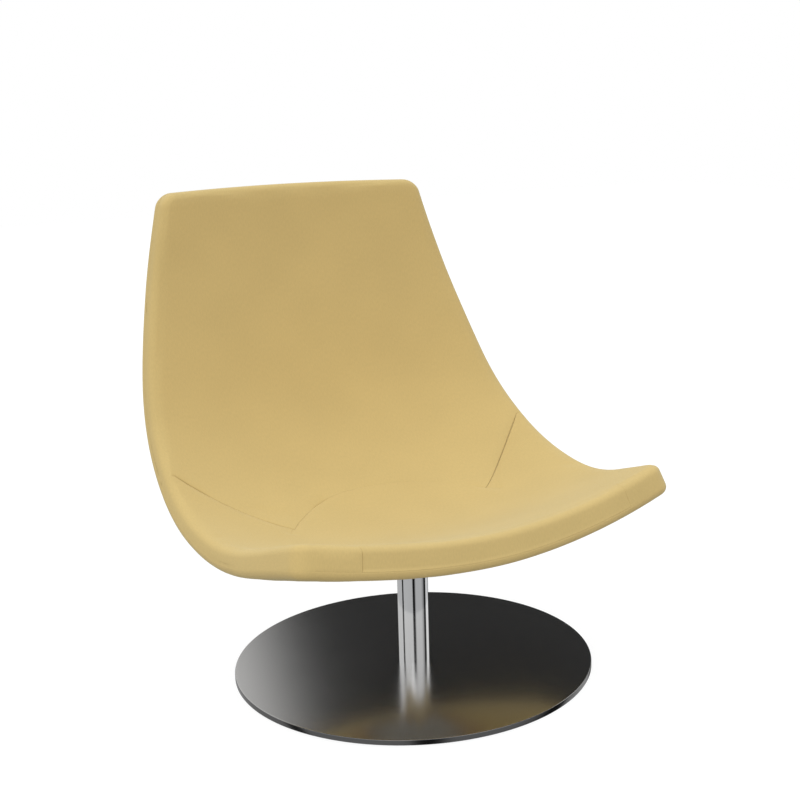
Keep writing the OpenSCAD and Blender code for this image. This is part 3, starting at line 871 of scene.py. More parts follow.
    def upper_rings(self, under: float) -> list[np.ndarray]:
        """Gives the rings down the edge, from the face to the foot of the wall.

        Args:
            under: How far the layer lies under the outer skin.

        Returns:
            One array of points for each ring.
        """
        form = self.form
        r = form.edge_radius - under
        rings = []
        for t in np.radians(self.arcs):
            p, n, _ = self.band(under + r * (1 - math.cos(t)))
            rings.append(p - n * (under + r * (1 - math.sin(t))))
        p, n, thick = self.band(under)
        wall = thick - 2 * form.edge_radius
        for share in self.walls:
            rings.append(p - n * (form.edge_radius + wall * share)[:, None])
        for off in [*sorted(self.near, reverse=True), 0.0]:
            rings.append(p - n * (form.edge_radius + wall - off)[:, None])
        return rings

    def lower_rings(self, under: float) -> list[np.ndarray]:
        """Gives the rings of the underside, from its face to the foot of the wall."""
        form = self.form
        r = form.edge_radius - under
        turns = [*np.radians(self.arcs[:-1]),
                 *(x / r for x in sorted(self.near, reverse=True)), 0.0]
        rings = []
        for t in turns:
            p, n, thick = self.band(under + r * (1 - math.cos(t)))
            rings.append(p - n * (thick - under - r * (1 - math.sin(t)))[:, None])
        return rings

    def upper_skin(self, under: float = 0.0) -> np.ndarray:
        """Gives the points of the upper skin: the grid, then each ring in turn."""
        p, n, _ = self.middle()
        return np.vstack([p - n * under, *self.upper_rings(under)])

    def lower_skin(self, under: float = 0.0) -> np.ndarray:
        """Gives the points of the underside: the grid, then each ring in turn."""
        return np.vstack([self.above_base(under), *self.lower_rings(under)])

    def above_base(self, height: float) -> np.ndarray:
        """Gives the grid's points at a height above the underside."""
        p, n, thick = self.middle()
        return p - n * (thick - height)[:, None]

    def ring_count(self, skin: np.ndarray) -> int:
        """Counts the rings of a skin's points."""
        return (len(skin) - self.middle_count) // self.loop

    def ring(self, k: int, first: int = 0) -> list[int]:
        """Numbers ring k's vertices in a skin whose points start at first."""
        start = first + self.middle_count + k * self.loop
        return list(range(start, start + self.loop))

    def border(self, first: int = 0) -> list[int]:
        """Numbers the grid's vertices beside each station."""
        return [first + self.at(int(i), int(j)) for i, j in zip(self.st_i, self.st_j)]

    def in_patch(self, i: int, j: int) -> bool:
        """Says whether a cell lies in the opening round the spacer block."""
        left, right = (self.cols[abs(k)] for k in (i, i + 1))
        low, high = self.rows[j], self.rows[j + 1]
        across, along = (gap + ROUNDING for gap in self.patch_gap)
        return (max(left.share, right.share) <= self.patch_cols + across
                and left.zone == right.zone == low.zone == high.zone == 0
                and low.share >= self.patch_rows[0] - along
                and high.share <= self.patch_rows[1] + along)

    def cells(self, columns: tuple[int, int], rows: tuple[int, int], first: int = 0,
              opened: bool = False) -> list[Face]:
        """Lists the grid's cells between columns and rows, anticlockwise from above."""
        return [
            (first + self.at(i, j), first + self.at(i + 1, j),
             first + self.at(i + 1, j + 1), first + self.at(i, j + 1))
            for i in range(*columns) for j in range(*rows)
            if not (opened and self.in_patch(i, j))]

    def all_cells(self, first: int = 0, opened: bool = False) -> list[Face]:
        """Lists every cell of the grid."""
        return self.cells((-self.last_col, self.last_col), (0, self.last_row), first, opened)

    def strip(self, inner: Sequence[int], outer: Sequence[int],
              stations: Iterable[int]) -> list[Face]:
        """Lists the faces between two rings over some stations, seen from above."""
        made: list[Face] = []
        for p in stations:
            q = (p + 1) % self.loop
            if inner[p] == inner[q]:
                made.append((inner[p], outer[p], outer[q]))
            else:
                made.append((inner[p], outer[p], outer[q], inner[q]))
        return made

    def edge(self, rings: int, stations: Sequence[int], first: int = 0) -> list[Face]:
        """Lists the edge band's faces over some stations, from the face outwards."""
        made = self.strip(self.border(first), self.ring(0, first), stations)
        for k in range(rings - 1):
            made += self.strip(self.ring(k, first), self.ring(k + 1, first), stations)
        return made

    def run(self, start: int, stop: int) -> list[int]:
        """Lists the stations from start up to stop, round the edge."""
        return [p % self.loop for p in range(start, stop)]

    def flat(self, skin: np.ndarray) -> np.ndarray:
        """Gives each vertex's place in the flat pattern, in metres, for the weave.

        Args:
            skin: The skin's points, the grid first and then each ring.

        Returns:
            A place across and along for each vertex.
        """
        across = self.side * (self.form.width(self.b / self.form.length) - self.a)
        grid = np.stack([across.ravel(), self.b.ravel()], axis=1)
        i = self.st_i + self.last_col
        start = np.stack([across[i, self.st_j], self.b[i, self.st_j]], axis=1)
        way = np.stack([self.side[i, self.st_j] * self.st_x, self.st_y], axis=1)
        rings = skin[self.middle_count:].reshape(-1, self.loop, 3)
        before = np.concatenate([skin[self.border()][None], rings[:-1]])
        run = np.cumsum(np.linalg.norm(rings - before, axis=2), axis=0)
        bands = start[None] + way[None] * run[:, :, None]
        return np.vstack([grid, bands.reshape(-1, 2)]) * MM


def outline_of(faces: Sequence[Face]) -> list[tuple[int, int]]:
    """Finds the edges that bound a sheet.

    Args:
        faces: The sheet's faces.

    Returns:
        Each boundary edge, in the direction of its face.
    """
    edges = {(f[k], f[(k + 1) % len(f)]) for f in faces for k in range(len(f))}
    return sorted(e for e in edges if (e[1], e[0]) not in edges)


@dataclass(frozen=True)
class Seam:
    """A sewn line: the vertices that it runs through and how much of it shows at each."""

    path: Sequence[int]
    depth: Sequence[float]


@dataclass(frozen=True)
class SeamDepths:
    """How deep each seam is drawn in, as a share of a full seam's depth.

    panel_on_face holds the depths at the shares panel_places of the panel's length, and
    dart_rings is the number of edge rings over which a dart fades on the rounded edge.
    """

    dart: float = 1.35
    dart_on_edge: tuple[float, float] = (0.5, 0.0)
    dart_rings: int = 3
    arc: tuple[float, float, float] = (0.45, 0.12, 0.08)
    arc_end_columns: int = 3
    panel_on_lip: tuple[float, float] = (0.7, 0.2)
    panel_on_face: tuple[float, ...] = (0.2, 0.04, 0.04, 0.9)
    panel_places: tuple[float, ...] = (0, 0.15, 0.85, 1)
    foot_in_front: float = 0.45
    foot_beside: float = 0.14
    held: float = 0.3


@dataclass
class Upholstery:
    """The foam and the sewn cover of the shell.

    Mesh steps are counted across the seat panel, across its corner panels, along the seat,
    along the back and round a corner.
    """

    form: ShellForm = field(default_factory=ShellForm)
    cloth_thickness: float = 1.6
    slack: float = 1.6
    swell: float = 2.0
    quick_reach: float = 14.0
    roll: float = 1.5
    roll_reach: tuple[float, float] = (0.7, 0.6)
    foam_under: float = 5.0
    rear_foam_under: float = 4.0
    beside_seam: tuple[float, ...] = (0.15, 0.45, 0.9, 1.5, 2.6, 5.0)
    cover_steps: tuple[int, ...] = (40, 24, 56, 84, 8)
    foam_steps: tuple[int, ...] = (20, 12, 28, 40, 5)
    edge_arcs: int = 8
    wall_shares: tuple[float, ...] = (0.25, 0.5, 0.75)
    sharp_deg: float = 75.0
    frames: int = 20
    pressure: float = 4.0
    recess: tuple[float, float] = (1.8, 0.3)
    depths: SeamDepths = field(default_factory=SeamDepths)

    def build(self, finishes: Finishes) -> None:
        """Builds every soft piece."""
        fine = self._mesh(self.beside_seam, self.cover_steps)
        plain = self._mesh((), self.cover_steps)
        front = self._sewn_skin(fine, plain, upper=True)
        rear = self._sewn_skin(fine, plain, upper=False)
        self._covers(fine, front, rear, finishes)
        self._foam(self._mesh((), self.foam_steps), finishes)

    def _mesh(self, near: Sequence[float], steps: Sequence[int]) -> ShellMesh:
        """Lays out a mesh of the shell with lines close beside the seams."""
        inner, outer, front, back, corner = steps
        patch = ShellMesh.patch_cols
        low, high = ShellMesh.patch_rows
        across, along = ShellMesh.patch_gap
        cols = lines([(inner, (patch, patch + across, 1.0)), (outer, (1.0,))], near)
        rows = lines([(front, (0.0, low - along, low, high, high + along, 1.0)),
                      (back, (1.0,))], near)
        arcs = [90 * k / self.edge_arcs for k in range(self.edge_arcs, -1, -1)]
        return ShellMesh(self.form, cols, rows, corner, arcs, self.wall_shares, near)

    def _sheet(self, mesh: ShellMesh, upper: bool) -> tuple[np.ndarray, list[Face]]:
        """Gives the points and outward faces of the upper skin or the underside."""
        points = mesh.upper_skin() if upper else mesh.lower_skin()
        rings = mesh.ring_count(points)
        faces = mesh.all_cells(opened=not upper) + mesh.edge(rings, mesh.run(0, mesh.loop))
        return points, faces if upper else [f[::-1] for f in faces]

    def _seams(self, mesh: ShellMesh, rings: int, upper: bool) -> list[Seam]:
        """Lists the seams of a skin.

        Args:
            mesh: The skin's mesh.
            rings: How many rings the skin has.
            upper: Whether it is the upper skin.

        Returns:
            The foot seam, then the seat panel's sides and the seam behind it.
        """
        depths = self.depths
        foot = mesh.ring(rings - 1)
        front = {foot[p] for p in mesh.run(mesh.panel_from, mesh.panel_to + 1)}
        loop = foot + foot[:1]
        found = [Seam(loop, [depths.foot_in_front if v in front else depths.foot_beside
                             for v in loop])]
        if not upper:
            return found
        for i, p, on_lip in ((-mesh.seam_col, mesh.panel_from, depths.panel_on_lip[0]),
                             (mesh.seam_col, mesh.panel_to, depths.panel_on_lip[1])):
            down = [mesh.ring(k)[p] for k in reversed(range(rings))]
            face = [mesh.at(i, j) for j in range(mesh.seam_row + 1)]
            fade = np.interp(np.linspace(0, 1, len(face)), depths.panel_places,
                             depths.panel_on_face)
            found.append(Seam(down + face, [on_lip] * len(down) + fade.tolist()))
        last, seam = mesh.last_col, mesh.seam_col
        columns = range(-last, last + 1)
        across = [mesh.at(i, mesh.seam_row) for i in columns]
        inside = seam - depths.arc_end_columns
        shown = np.interp(columns, (-seam, -inside, 0, inside, seam),
                          (depths.dart, *depths.arc, depths.dart))
        turn = np.interp(range(rings), (0, depths.dart_rings), depths.dart_on_edge)
        right = [mesh.ring(k)[mesh.dart_right] for k in reversed(range(rings))]
        left = [mesh.ring(k)[mesh.dart_left] for k in range(rings)]
        found.append(Seam(right + across + left, [*turn[::-1], *shown, *turn]))
        return found

    def _swell(self, mesh: ShellMesh, upper: bool) -> np.ndarray:
        """Lets the fabric settle between its seams.

        Args:
            mesh: The plain mesh that the simulation runs on.
            upper: Whether it is the upper skin.

        Returns:
            How far each vertex moves outwards, in mm.
        """
        points, faces = self._sheet(mesh, upper)
        rings = mesh.ring_count(points)
        seams = self._seams(mesh, rings, upper)
        if not upper:
            opening = [e[0] for e in outline_of(faces)]
            seams.append(Seam(opening, [1.0] * len(opening)))
        held = sorted({v for seam in seams for v, depth in zip(seam.path, seam.depth)
                       if depth > self.depths.held} | set(mesh.ring(rings - 1)))
        normals = vertex_normals(points, faces)
        sheet = bpy.data.meshes.new("settling")
        sheet.from_pydata((points * MM).tolist(), [], faces)
        cloth = bpy.data.objects.new("settling", sheet)
        bpy.context.scene.collection.objects.link(cloth)
        cloth.vertex_groups.new(name="seams").add(held, 1.0, "REPLACE")
        spring = cloth.modifiers.new("settle", "CLOTH")
        spring.settings.vertex_group_mass = "seams"
        spring.settings.quality = 4
        spring.settings.use_pressure = True
        spring.settings.uniform_pressure_force = self.pressure
        spring.settings.effector_weights.gravity = 0.0
        spring.point_cache.frame_start = 1
        spring.point_cache.frame_end = self.frames
        for frame in range(1, self.frames + 1):
            bpy.context.scene.frame_set(frame)
        settled = cloth.evaluated_get(bpy.context.evaluated_depsgraph_get()).data
        moved = np.zeros(len(points) * 3)
        settled.vertices.foreach_get("co", moved)
        out = ((moved.reshape(-1, 3) / MM - points) * normals).sum(axis=1)
        bpy.context.scene.frame_set(1)
        bpy.data.objects.remove(cloth)
        LOG.info("cloth moved by up to %.1f mm before its cap", float(np.abs(out).max()))
        return self.swell * np.tanh(np.maximum(out, 0) / self.swell)

    @staticmethod
    def _spots(points: np.ndarray, seam: Seam) -> tuple[np.ndarray, np.ndarray]:
        """Gives close spots along a seam and its depth at each."""
        path, depth = points[list(seam.path)], np.asarray(seam.depth)
        steps = np.linalg.norm(np.diff(path, axis=0), axis=1)
        along = np.concatenate([[0], np.cumsum(steps)])
        even = np.linspace(0, along[-1], int(along[-1] / SPOT_STEP) + 2)
        fine = np.union1d(along, even)
        spots = np.stack([np.interp(fine, along, path[:, k]) for k in range(3)], axis=1)
        return spots, np.interp(fine, along, depth)

    @staticmethod
    def _nearest(points: np.ndarray,
                 seams: Sequence[tuple[np.ndarray, np.ndarray]]) -> tuple[np.ndarray, np.ndarray]:
        """Finds the nearest seam to each point.

        Args:
            points: The points.
            seams: Spots along each seam with the seam's depth there.

        Returns:
            Each point's distance to it in mm, and the seam's depth there.
        """
        spots = np.vstack([s[0] for s in seams])
        depth = np.concatenate([s[1] for s in seams])
        tree = KDTree(len(spots))
        for k, spot in enumerate(spots):
            tree.insert(spot, k)
        tree.balance()
        found = [tree.find(p) for p in points]
        return np.array([f[2] for f in found]), depth[[f[1] for f in found]]

    @staticmethod
    def _spread(level: np.ndarray, plain: ShellMesh, fine: ShellMesh) -> np.ndarray:
        """Carries levels from the plain mesh to the fine one.

        Args:
            level: One number for each vertex of the plain mesh's skin.
            plain: The plain mesh.
            fine: The fine mesh.

        Returns:
            One number for each vertex of the fine mesh's skin.
        """
        def spans(listed: Sequence[Line]) -> list[float]:
            """Numbers a half's lines so that equal places have equal numbers."""
            return [x.zone + x.share + x.off / plain.form.half_width for x in listed]

        def both(listed: Sequence[Line]) -> list[float]:
            """Numbers the columns of both halves."""
            half = spans(listed)
            return [-x for x in reversed(half[1:])] + half

        def stations(mesh: ShellMesh) -> list[float]:
            """Numbers the stations: 4 along each end, 2 along each side, 1 in a corner."""
            turn = [k / (mesh.corner_steps + 1) for k in range(1, mesh.corner_steps + 1)]
            ends = [x + 2 for x in both(mesh.cols)]
            up = spans(mesh.rows)
            down = [2 - x for x in reversed(up)]
            line: list[float] = []
            start = 0
            for side, length in ((ends, 4), (up, 2), (ends, 4), (down, 2)):
                line += [start + x for x in side]
                line += [start + length + x for x in turn]
                start += length + 1
            return line

        grid = level[:plain.middle_count].reshape(plain.width_count, plain.height_count)
        rows = np.array([np.interp(spans(fine.rows), spans(plain.rows), g) for g in grid])
        grid = np.array([np.interp(both(fine.cols), both(plain.cols), g) for g in rows.T]).T
        rings = level[plain.middle_count:].reshape(-1, plain.loop)
        here, there = stations(plain), stations(fine)
        bands = np.array([np.interp(there, here, g) for g in rings])
        extra = len(fine.near) - len(plain.near)
        weights = [x / max(fine.near) for x in sorted(fine.near, reverse=True)][:extra]
        last = bands[-2]
        more = [last * w for w in weights]
        bands = np.vstack([bands[:-1], *more, bands[-1:]])
        return np.concatenate([grid.ravel(), bands.ravel()])

    def _sewn_skin(self, fine: ShellMesh, plain: ShellMesh,
                   upper: bool) -> tuple[np.ndarray, np.ndarray, list[Face], np.ndarray]:
        """Settles a skin and draws it in at its seams.

        Args:
            fine: The mesh that shows.
            plain: The mesh that the cloth is simulated on.
            upper: Whether it is the upper skin.

        Returns:
            The points, their normals at rest, the skin's faces and each point's crease, which
            sets the painted seam shade.
        """
        points, faces = self._sheet(fine, upper)
        rings = fine.ring_count(points)
        out = self._spread(self._swell(plain, upper), plain, fine)
        normals = vertex_normals(points, faces)
        seams = [self._spots(points, seam) for seam in self._seams(fine, rings, upper)]
        apart, depth = self._nearest(points, seams)
        reach = self.roll * (self.roll_reach[0] + self.roll_reach[1] * depth)
        within = 1 - np.minimum(apart / reach, 1)
        rolled = self.roll * depth * (1 - np.sqrt(1 - within**2))
        if upper:
            out = out - self._set_back(fine, rings)
        shown = points + normals * (out - self.slack - rolled)[:, None]
        return shown, normals, faces, rolled / self.roll

    def _set_back(self, mesh: ShellMesh, rings: int) -> np.ndarray:
        """Sets the seat panel's front face behind the corner panels' fronts, in mm."""
        turn = len(mesh.arcs) - 1
        down = np.minimum(np.arange(rings) / turn, 1)
        near = sorted(mesh.near, reverse=True)
        down[-1 - len(near):] = [x / near[0] for x in near] + [0.0]
        along = np.zeros(mesh.loop)
        front = slice(mesh.panel_from + 1, mesh.panel_to)
        along[front] = np.linspace(*self.recess, len(along[front]))
        bands = down[:, None] * along
        return np.concatenate([np.zeros(mesh.middle_count), bands.ravel()])

    def _covers(self, mesh: ShellMesh, front: tuple, rear: tuple, finishes: Finishes) -> None:
        """Cuts the skins into the sewn pieces and gives each its thickness."""
        seam, last, row, top = mesh.seam_col, mesh.last_col, mesh.seam_row, mesh.last_row
        rings = mesh.ring_count(front[0])
        cuts = {
            Cover.SEAT: ((-seam, seam), (0, row), (mesh.panel_from, mesh.panel_to)),
            Cover.LEFT: ((seam, last), (0, row), (mesh.panel_to, mesh.dart_left)),
            Cover.BACK: ((-last, last), (row, top), (mesh.dart_left, mesh.dart_right)),
            Cover.RIGHT: ((-last, -seam), (0, row),
                          (mesh.dart_right, mesh.loop + mesh.panel_from)),
        }
        for cover, (cols, rows, reach) in cuts.items():
            faces = mesh.cells(cols, rows) + mesh.edge(rings, mesh.run(*reach))
            self._cover(cover, mesh, (*front[:2], faces, front[3]), finishes)
        self._cover(Cover.OUTER, mesh, rear, finishes)

    def _cover(self, cover: Cover, mesh: ShellMesh, skin: tuple, finishes: Finishes) -> None:
        """Makes one closed piece of the cover from a skin's points, normals and faces."""
        points, normals, faces, crease = skin
        used = sorted({v for f in faces for v in f})
        index = {v: k for k, v in enumerate(used)}
        outer = points[used]
        inner = outer - normals[used] * self.cloth_thickness
        count = len(used)
        shown = [tuple(index[v] for v in f) for f in faces]
        hidden = [tuple(v + count for v in f[::-1]) for f in shown]
        rim = [(b, a, a + count, b + count) for a, b in outline_of(shown)]
        piece = mesh_object(f"{cover.value}_sewn", np.vstack([outer, inner]),
                            shown + hidden + rim, finishes.cloth, self.sharp_deg)
        flat = mesh.flat(points)[used]
        layer = piece.data.uv_layers.new(name="flat pattern")
        corner = np.zeros(len(piece.data.loops), int)
        piece.data.loops.foreach_get("vertex_index", corner)
        layer.data.foreach_set("uv", flat[corner % count].astype(np.float32).ravel())
        # The crease attribute darkens the cloth's colour: painted shade in the seams
        shade = piece.data.attributes.new("crease", "FLOAT", "POINT")
        shade.data.foreach_set("value", np.tile(crease[used], 2).astype(np.float32))
        settle(piece, "seat", "cover_fabric", cover.value)

    def _foam(self, mesh: ShellMesh, finishes: Finishes) -> None:
        """Makes the two foam pads that the cover is drawn over."""
        upper = mesh.upper_skin(self.foam_under)
        floor = mesh.above_base(self.form.edge_radius)
        rings = mesh.ring_count(upper)
        whole = mesh.run(0, mesh.loop)
        first = len(upper)
        under = mesh.all_cells(first) + mesh.strip(
            mesh.border(first), mesh.ring(rings - 1), whole)
        faces = mesh.all_cells() + mesh.edge(rings, whole) + [f[::-1] for f in under]
        pad = mesh_object("front_foam_pad", np.vstack([upper, floor]), faces, finishes.foam)
        settle(pad, "seat", "foam", "front_foam")

        lower = mesh.lower_skin(self.rear_foam_under)
        core_under = self.form.edge_radius - self.form.core_thickness
        roof = mesh.above_base(core_under)
        rings = mesh.ring_count(lower)
        second = len(lower)
        third = second + len(roof)
        sheet = mesh.all_cells(opened=True) + mesh.edge(rings, whole)
        upward = mesh.all_cells(second, opened=True)
        shelf = mesh.strip(mesh.border(third), mesh.ring(rings - 1), whole)
        faces = [f[::-1] for f in sheet] + upward + shelf
        round_core = [(b - second + third, b, a, a - second + third)
                      for a, b in outline_of(mesh.all_cells(second))]
        faces += [f[::-1] for f in round_core]
        hole = set(outline_of(upward)) - set(outline_of(mesh.all_cells(second)))
        faces += [(b, a, a - second, b - second) for a, b in sorted(hole)]
        pad = mesh_object("rear_foam_pad", np.vstack([lower, roof, floor]), faces, finishes.foam)
        settle(pad, "seat", "foam", "rear_foam")


def turned(name: str, profile: Sequence[tuple[float, float]], material: bpy.types.Material,
           segments: int = 128, closed: bool = False) -> bpy.types.Object:
    """Turns a profile about the swivel axis.

    Args:
        name: The piece's name.
        profile: Radii and heights in mm, going round the section anticlockwise.
        material: The finish.
        segments: Facets round the axis.
        closed: Whether the profile is a ring's section that meets itself.

    Returns:
        The piece.
    """
    count = len(profile)
    points, start = [], []
    for r, z in profile:
        start.append(len(points))
        if r == 0:
            points.append((0.0, 0.0, z))
        else:
            points += [(r * math.cos(2 * math.pi * k / segments),
                        r * math.sin(2 * math.pi * k / segments), z) for k in range(segments)]

    def spot(k: int, turn: int) -> int:
        """Gives the number of the vertex of profile point k on a turn."""
        return start[k] + (0 if profile[k][0] == 0 else turn % segments)

    faces: list[Face] = []
    for k in range(count if closed else count - 1):
        n = (k + 1) % count
        for turn in range(segments):
            ring = [spot(k, turn), spot(k, turn + 1), spot(n, turn + 1), spot(n, turn)]
            kept = tuple(dict.fromkeys(ring))
            if len(kept) > 2:
                faces.append(kept)
    return mesh_object(name, np.array(points), faces, material, TURNED_SHARP_DEG)


def rounded(corners: Sequence[tuple[float, float]], radii: Sequence[float],
            steps: int = 6) -> list[tuple[float, float]]:
    """Rounds the corners of a profile.

    Args:
        corners: The profile's corners.
        radii: The radius on each corner, 0 for a sharp one.
        steps: Points along each rounding.

    Returns:
        The rounded profile.
    """
    made: list[tuple[float, float]] = []
    for k, (corner, radius) in enumerate(zip(corners, radii)):
        if radius == 0:
            made.append(corner)
            continue
        here = Vector(corner)
        before = (Vector(corners[k - 1]) - here).normalized() * radius
        after = (Vector(corners[(k + 1) % len(corners)]) - here).normalized() * radius
        for n in range(steps + 1):
            t = math.pi / 2 * n / steps
            spot = here + before * (1 - math.sin(t)) + after * (1 - math.cos(t))
            made.append((spot.x, spot.y))
    return made


def lofted(name: str, rings: Sequence[tuple[Sequence[float], float]],
           material: bpy.types.Material) -> bpy.types.Object:
    """Joins rings of equal counts into one closed piece, from the lowest up.

    Args:
        name: The piece's name.
        rings: The radii round each ring, at even angles, and its height, in mm.
        material: The finish.

    Returns:
        The piece.
    """
    count = len(rings[0][0])
    turns = [2 * math.pi * k / count for k in range(count)]
    points = [(r * math.cos(t), r * math.sin(t), z)
              for radii, z in rings for r, t in zip(radii, turns)]
    faces: list[Face] = [tuple(range(count))[::-1]]
    for k in range(len(rings) - 1):
        low, high = k * count, (k + 1) * count
        faces += [(low + n, low + (n + 1) % count, high + (n + 1) % count, high + n)
                  for n in range(count)]
    faces.append(tuple(range(len(points) - count, len(points))))
    return mesh_object(name, np.array(points), faces, material, LOFTED_SHARP_DEG)


@dataclass(frozen=True)
class Around:
    """Copies of a piece on a circle about the swivel axis, laid out by Geometry Nodes.

    Sizes are in mm. Each copy is turned on itself by its own amount, up to turn_deg.
    """

    name: str
    count: int
    radius: float
    height: float
    phase_deg: float = 0.0
    turn_deg: float = 0.0
    seed: int = 5

    def _tree(self, pattern: bpy.types.Object,
              material: bpy.types.Material) -> tuple[bpy.types.NodeTree, dict[str, str]]:
        """Builds the node tree.

        Args:
            pattern: The piece that is repeated.
            material: Its finish.

        Returns:
            The tree and the identifiers of its named inputs.
        """
        tree = Tree(bpy.data.node_groups.new(f"{self.name} layout", "GeometryNodeTree"))
        sockets = tree.own.interface
        sockets.new_socket("Geometry", in_out="OUTPUT", socket_type="NodeSocketGeometry")
        kinds = {"Count": "Int", "Radius": "Float", "Height": "Float", "Phase": "Float",
                 "Turn": "Float", "Seed": "Int"}
        ids = {label: sockets.new_socket(
            label, in_out="INPUT", socket_type=f"NodeSocket{kind}").identifier
            for label, kind in kinds.items()}
        given = tree.put("NodeGroupInput").outputs
        circle = tree.put("GeometryNodeMeshCircle", {
            "Vertices": given["Count"], "Radius": given["Radius"]})
        spin = tree.put("FunctionNodeRandomValue", {
            2: 0.0, 3: given["Turn"], "Seed": given["Seed"]}, data_type="FLOAT")
        lift, phase, own_turn = (
            tree.put("ShaderNodeCombineXYZ", {"Z": value}).outputs[0]
            for value in (given["Height"], given["Phase"], spin.outputs[1]))
        ring = tree.put("GeometryNodeTransform", {
            "Geometry": circle.outputs["Mesh"], "Translation": lift, "Rotation": phase})
        source = tree.put("GeometryNodeObjectInfo", {"Object": pattern})
        copies = tree.put("GeometryNodeInstanceOnPoints", {
            "Points": ring.outputs["Geometry"], "Instance": source.outputs["Geometry"],
            "Rotation": own_turn})
        plain = tree.put("GeometryNodeRealizeInstances", {"Geometry": copies.outputs[0]})
        dyed = tree.put("GeometryNodeSetMaterial", {
            "Geometry": plain.outputs[0], "Material": material})
        tree.put("NodeGroupOutput", {0: dyed.outputs[0]})
        return tree.own, ids

    def build(self, pattern: bpy.types.Object,
              material: bpy.types.Material) -> bpy.types.Object:
        """Lays the copies out as one plain mesh and removes the pattern.

        Args:
            pattern: The piece that is repeated.
            material: Its finish.

        Returns:
            The piece.
        """
        tree, ids = self._tree(pattern, material)
        made = bpy.data.objects.new(self.name, bpy.data.meshes.new(self.name))
        bpy.context.scene.collection.objects.link(made)
        layout = made.modifiers.new("layout", "NODES")
        layout.node_group = tree
        values = {"Count": self.count, "Radius": self.radius * MM, "Height": self.height * MM,
                  "Phase": math.radians(self.phase_deg), "Turn": math.radians(self.turn_deg),
                  "Seed": self.seed}
        for label, value in values.items():
            layout[ids[label]] = value
        seen = made.evaluated_get(bpy.context.evaluated_depsgraph_get())
        plain = bpy.data.meshes.new_from_object(seen)
        made.modifiers.clear()
        made.data = plain
        bpy.data.objects.remove(pattern)
        return made


@dataclass
class Pedestal:
    """The round base plate and the column, with the swivel inside it."""

    plate_radius: float = 350.0
    plate_low: float = 2.0
    plate_high: float = 12.0
    plate_edge: float = 1.5
    plate_foot_edge: float = 0.5
    plate_segments: int = 256
    tube_radius: float = 30.0
    tube_wall: float = 3.0
    tube_lip: float = 0.6
    tube_segments: int = 160
    ball_count: int = 14
    ball_steps: int = 16

    def build(self, finishes: Finishes, nodes: Bodies) -> None:
        """Builds the shown pieces and dresses the CAD ones that stay."""
        plate = turned("base_plate_ground", rounded(
            [(0, self.plate_low), (self.plate_radius, self.plate_low),
             (self.plate_radius, self.plate_high), (0, self.plate_high)],
            [0, self.plate_foot_edge, self.plate_edge, 0]), finishes.plate, self.plate_segments)
        settle(plate, "base", "base_steel", "base_plate")
        low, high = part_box("column_tube")
        bore = self.tube_radius - self.tube_wall
        lip = self.tube_lip
        tube = turned("column_tube_polished", rounded(
            [(bore, low.z / MM), (self.tube_radius, low.z / MM),
             (self.tube_radius, high.z / MM), (bore, high.z / MM)],
            [0, 0, lip, lip]), finishes.chrome, self.tube_segments, closed=True)
        settle(tube, "base", "column_chrome", "column_tube")
        dress(nodes, finishes.rubber, "floor_pad")
        dress(nodes, finishes.steel, "base_screws", "foot_plug", "thrust_race_lower")
        dress(nodes, finishes.plastic, "lower_bush", "upper_bush")
        dress(nodes, finishes.brass, "thrust_cage")
        self._balls(finishes)

    def _balls(self, finishes: Finishes) -> None:
        """Lays the bearing's balls out on their track."""
        low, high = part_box("thrust_balls")
        r = (high.z - low.z) / 2 / MM
        steps = self.ball_steps
        arc = [-math.pi / 2 + math.pi * k / steps for k in range(steps + 1)]
        ball = turned("ball", [(0 if k in (0, steps) else r * math.cos(t), r * math.sin(t))
                               for k, t in enumerate(arc)], finishes.chrome, 2 * steps)
        track = Around("thrust_balls_ground", self.ball_count, high.x / MM - r,
                       (low.z + high.z) / 2 / MM)
        settle(track.build(ball, finishes.chrome), "base", "column_chrome", "thrust_balls")


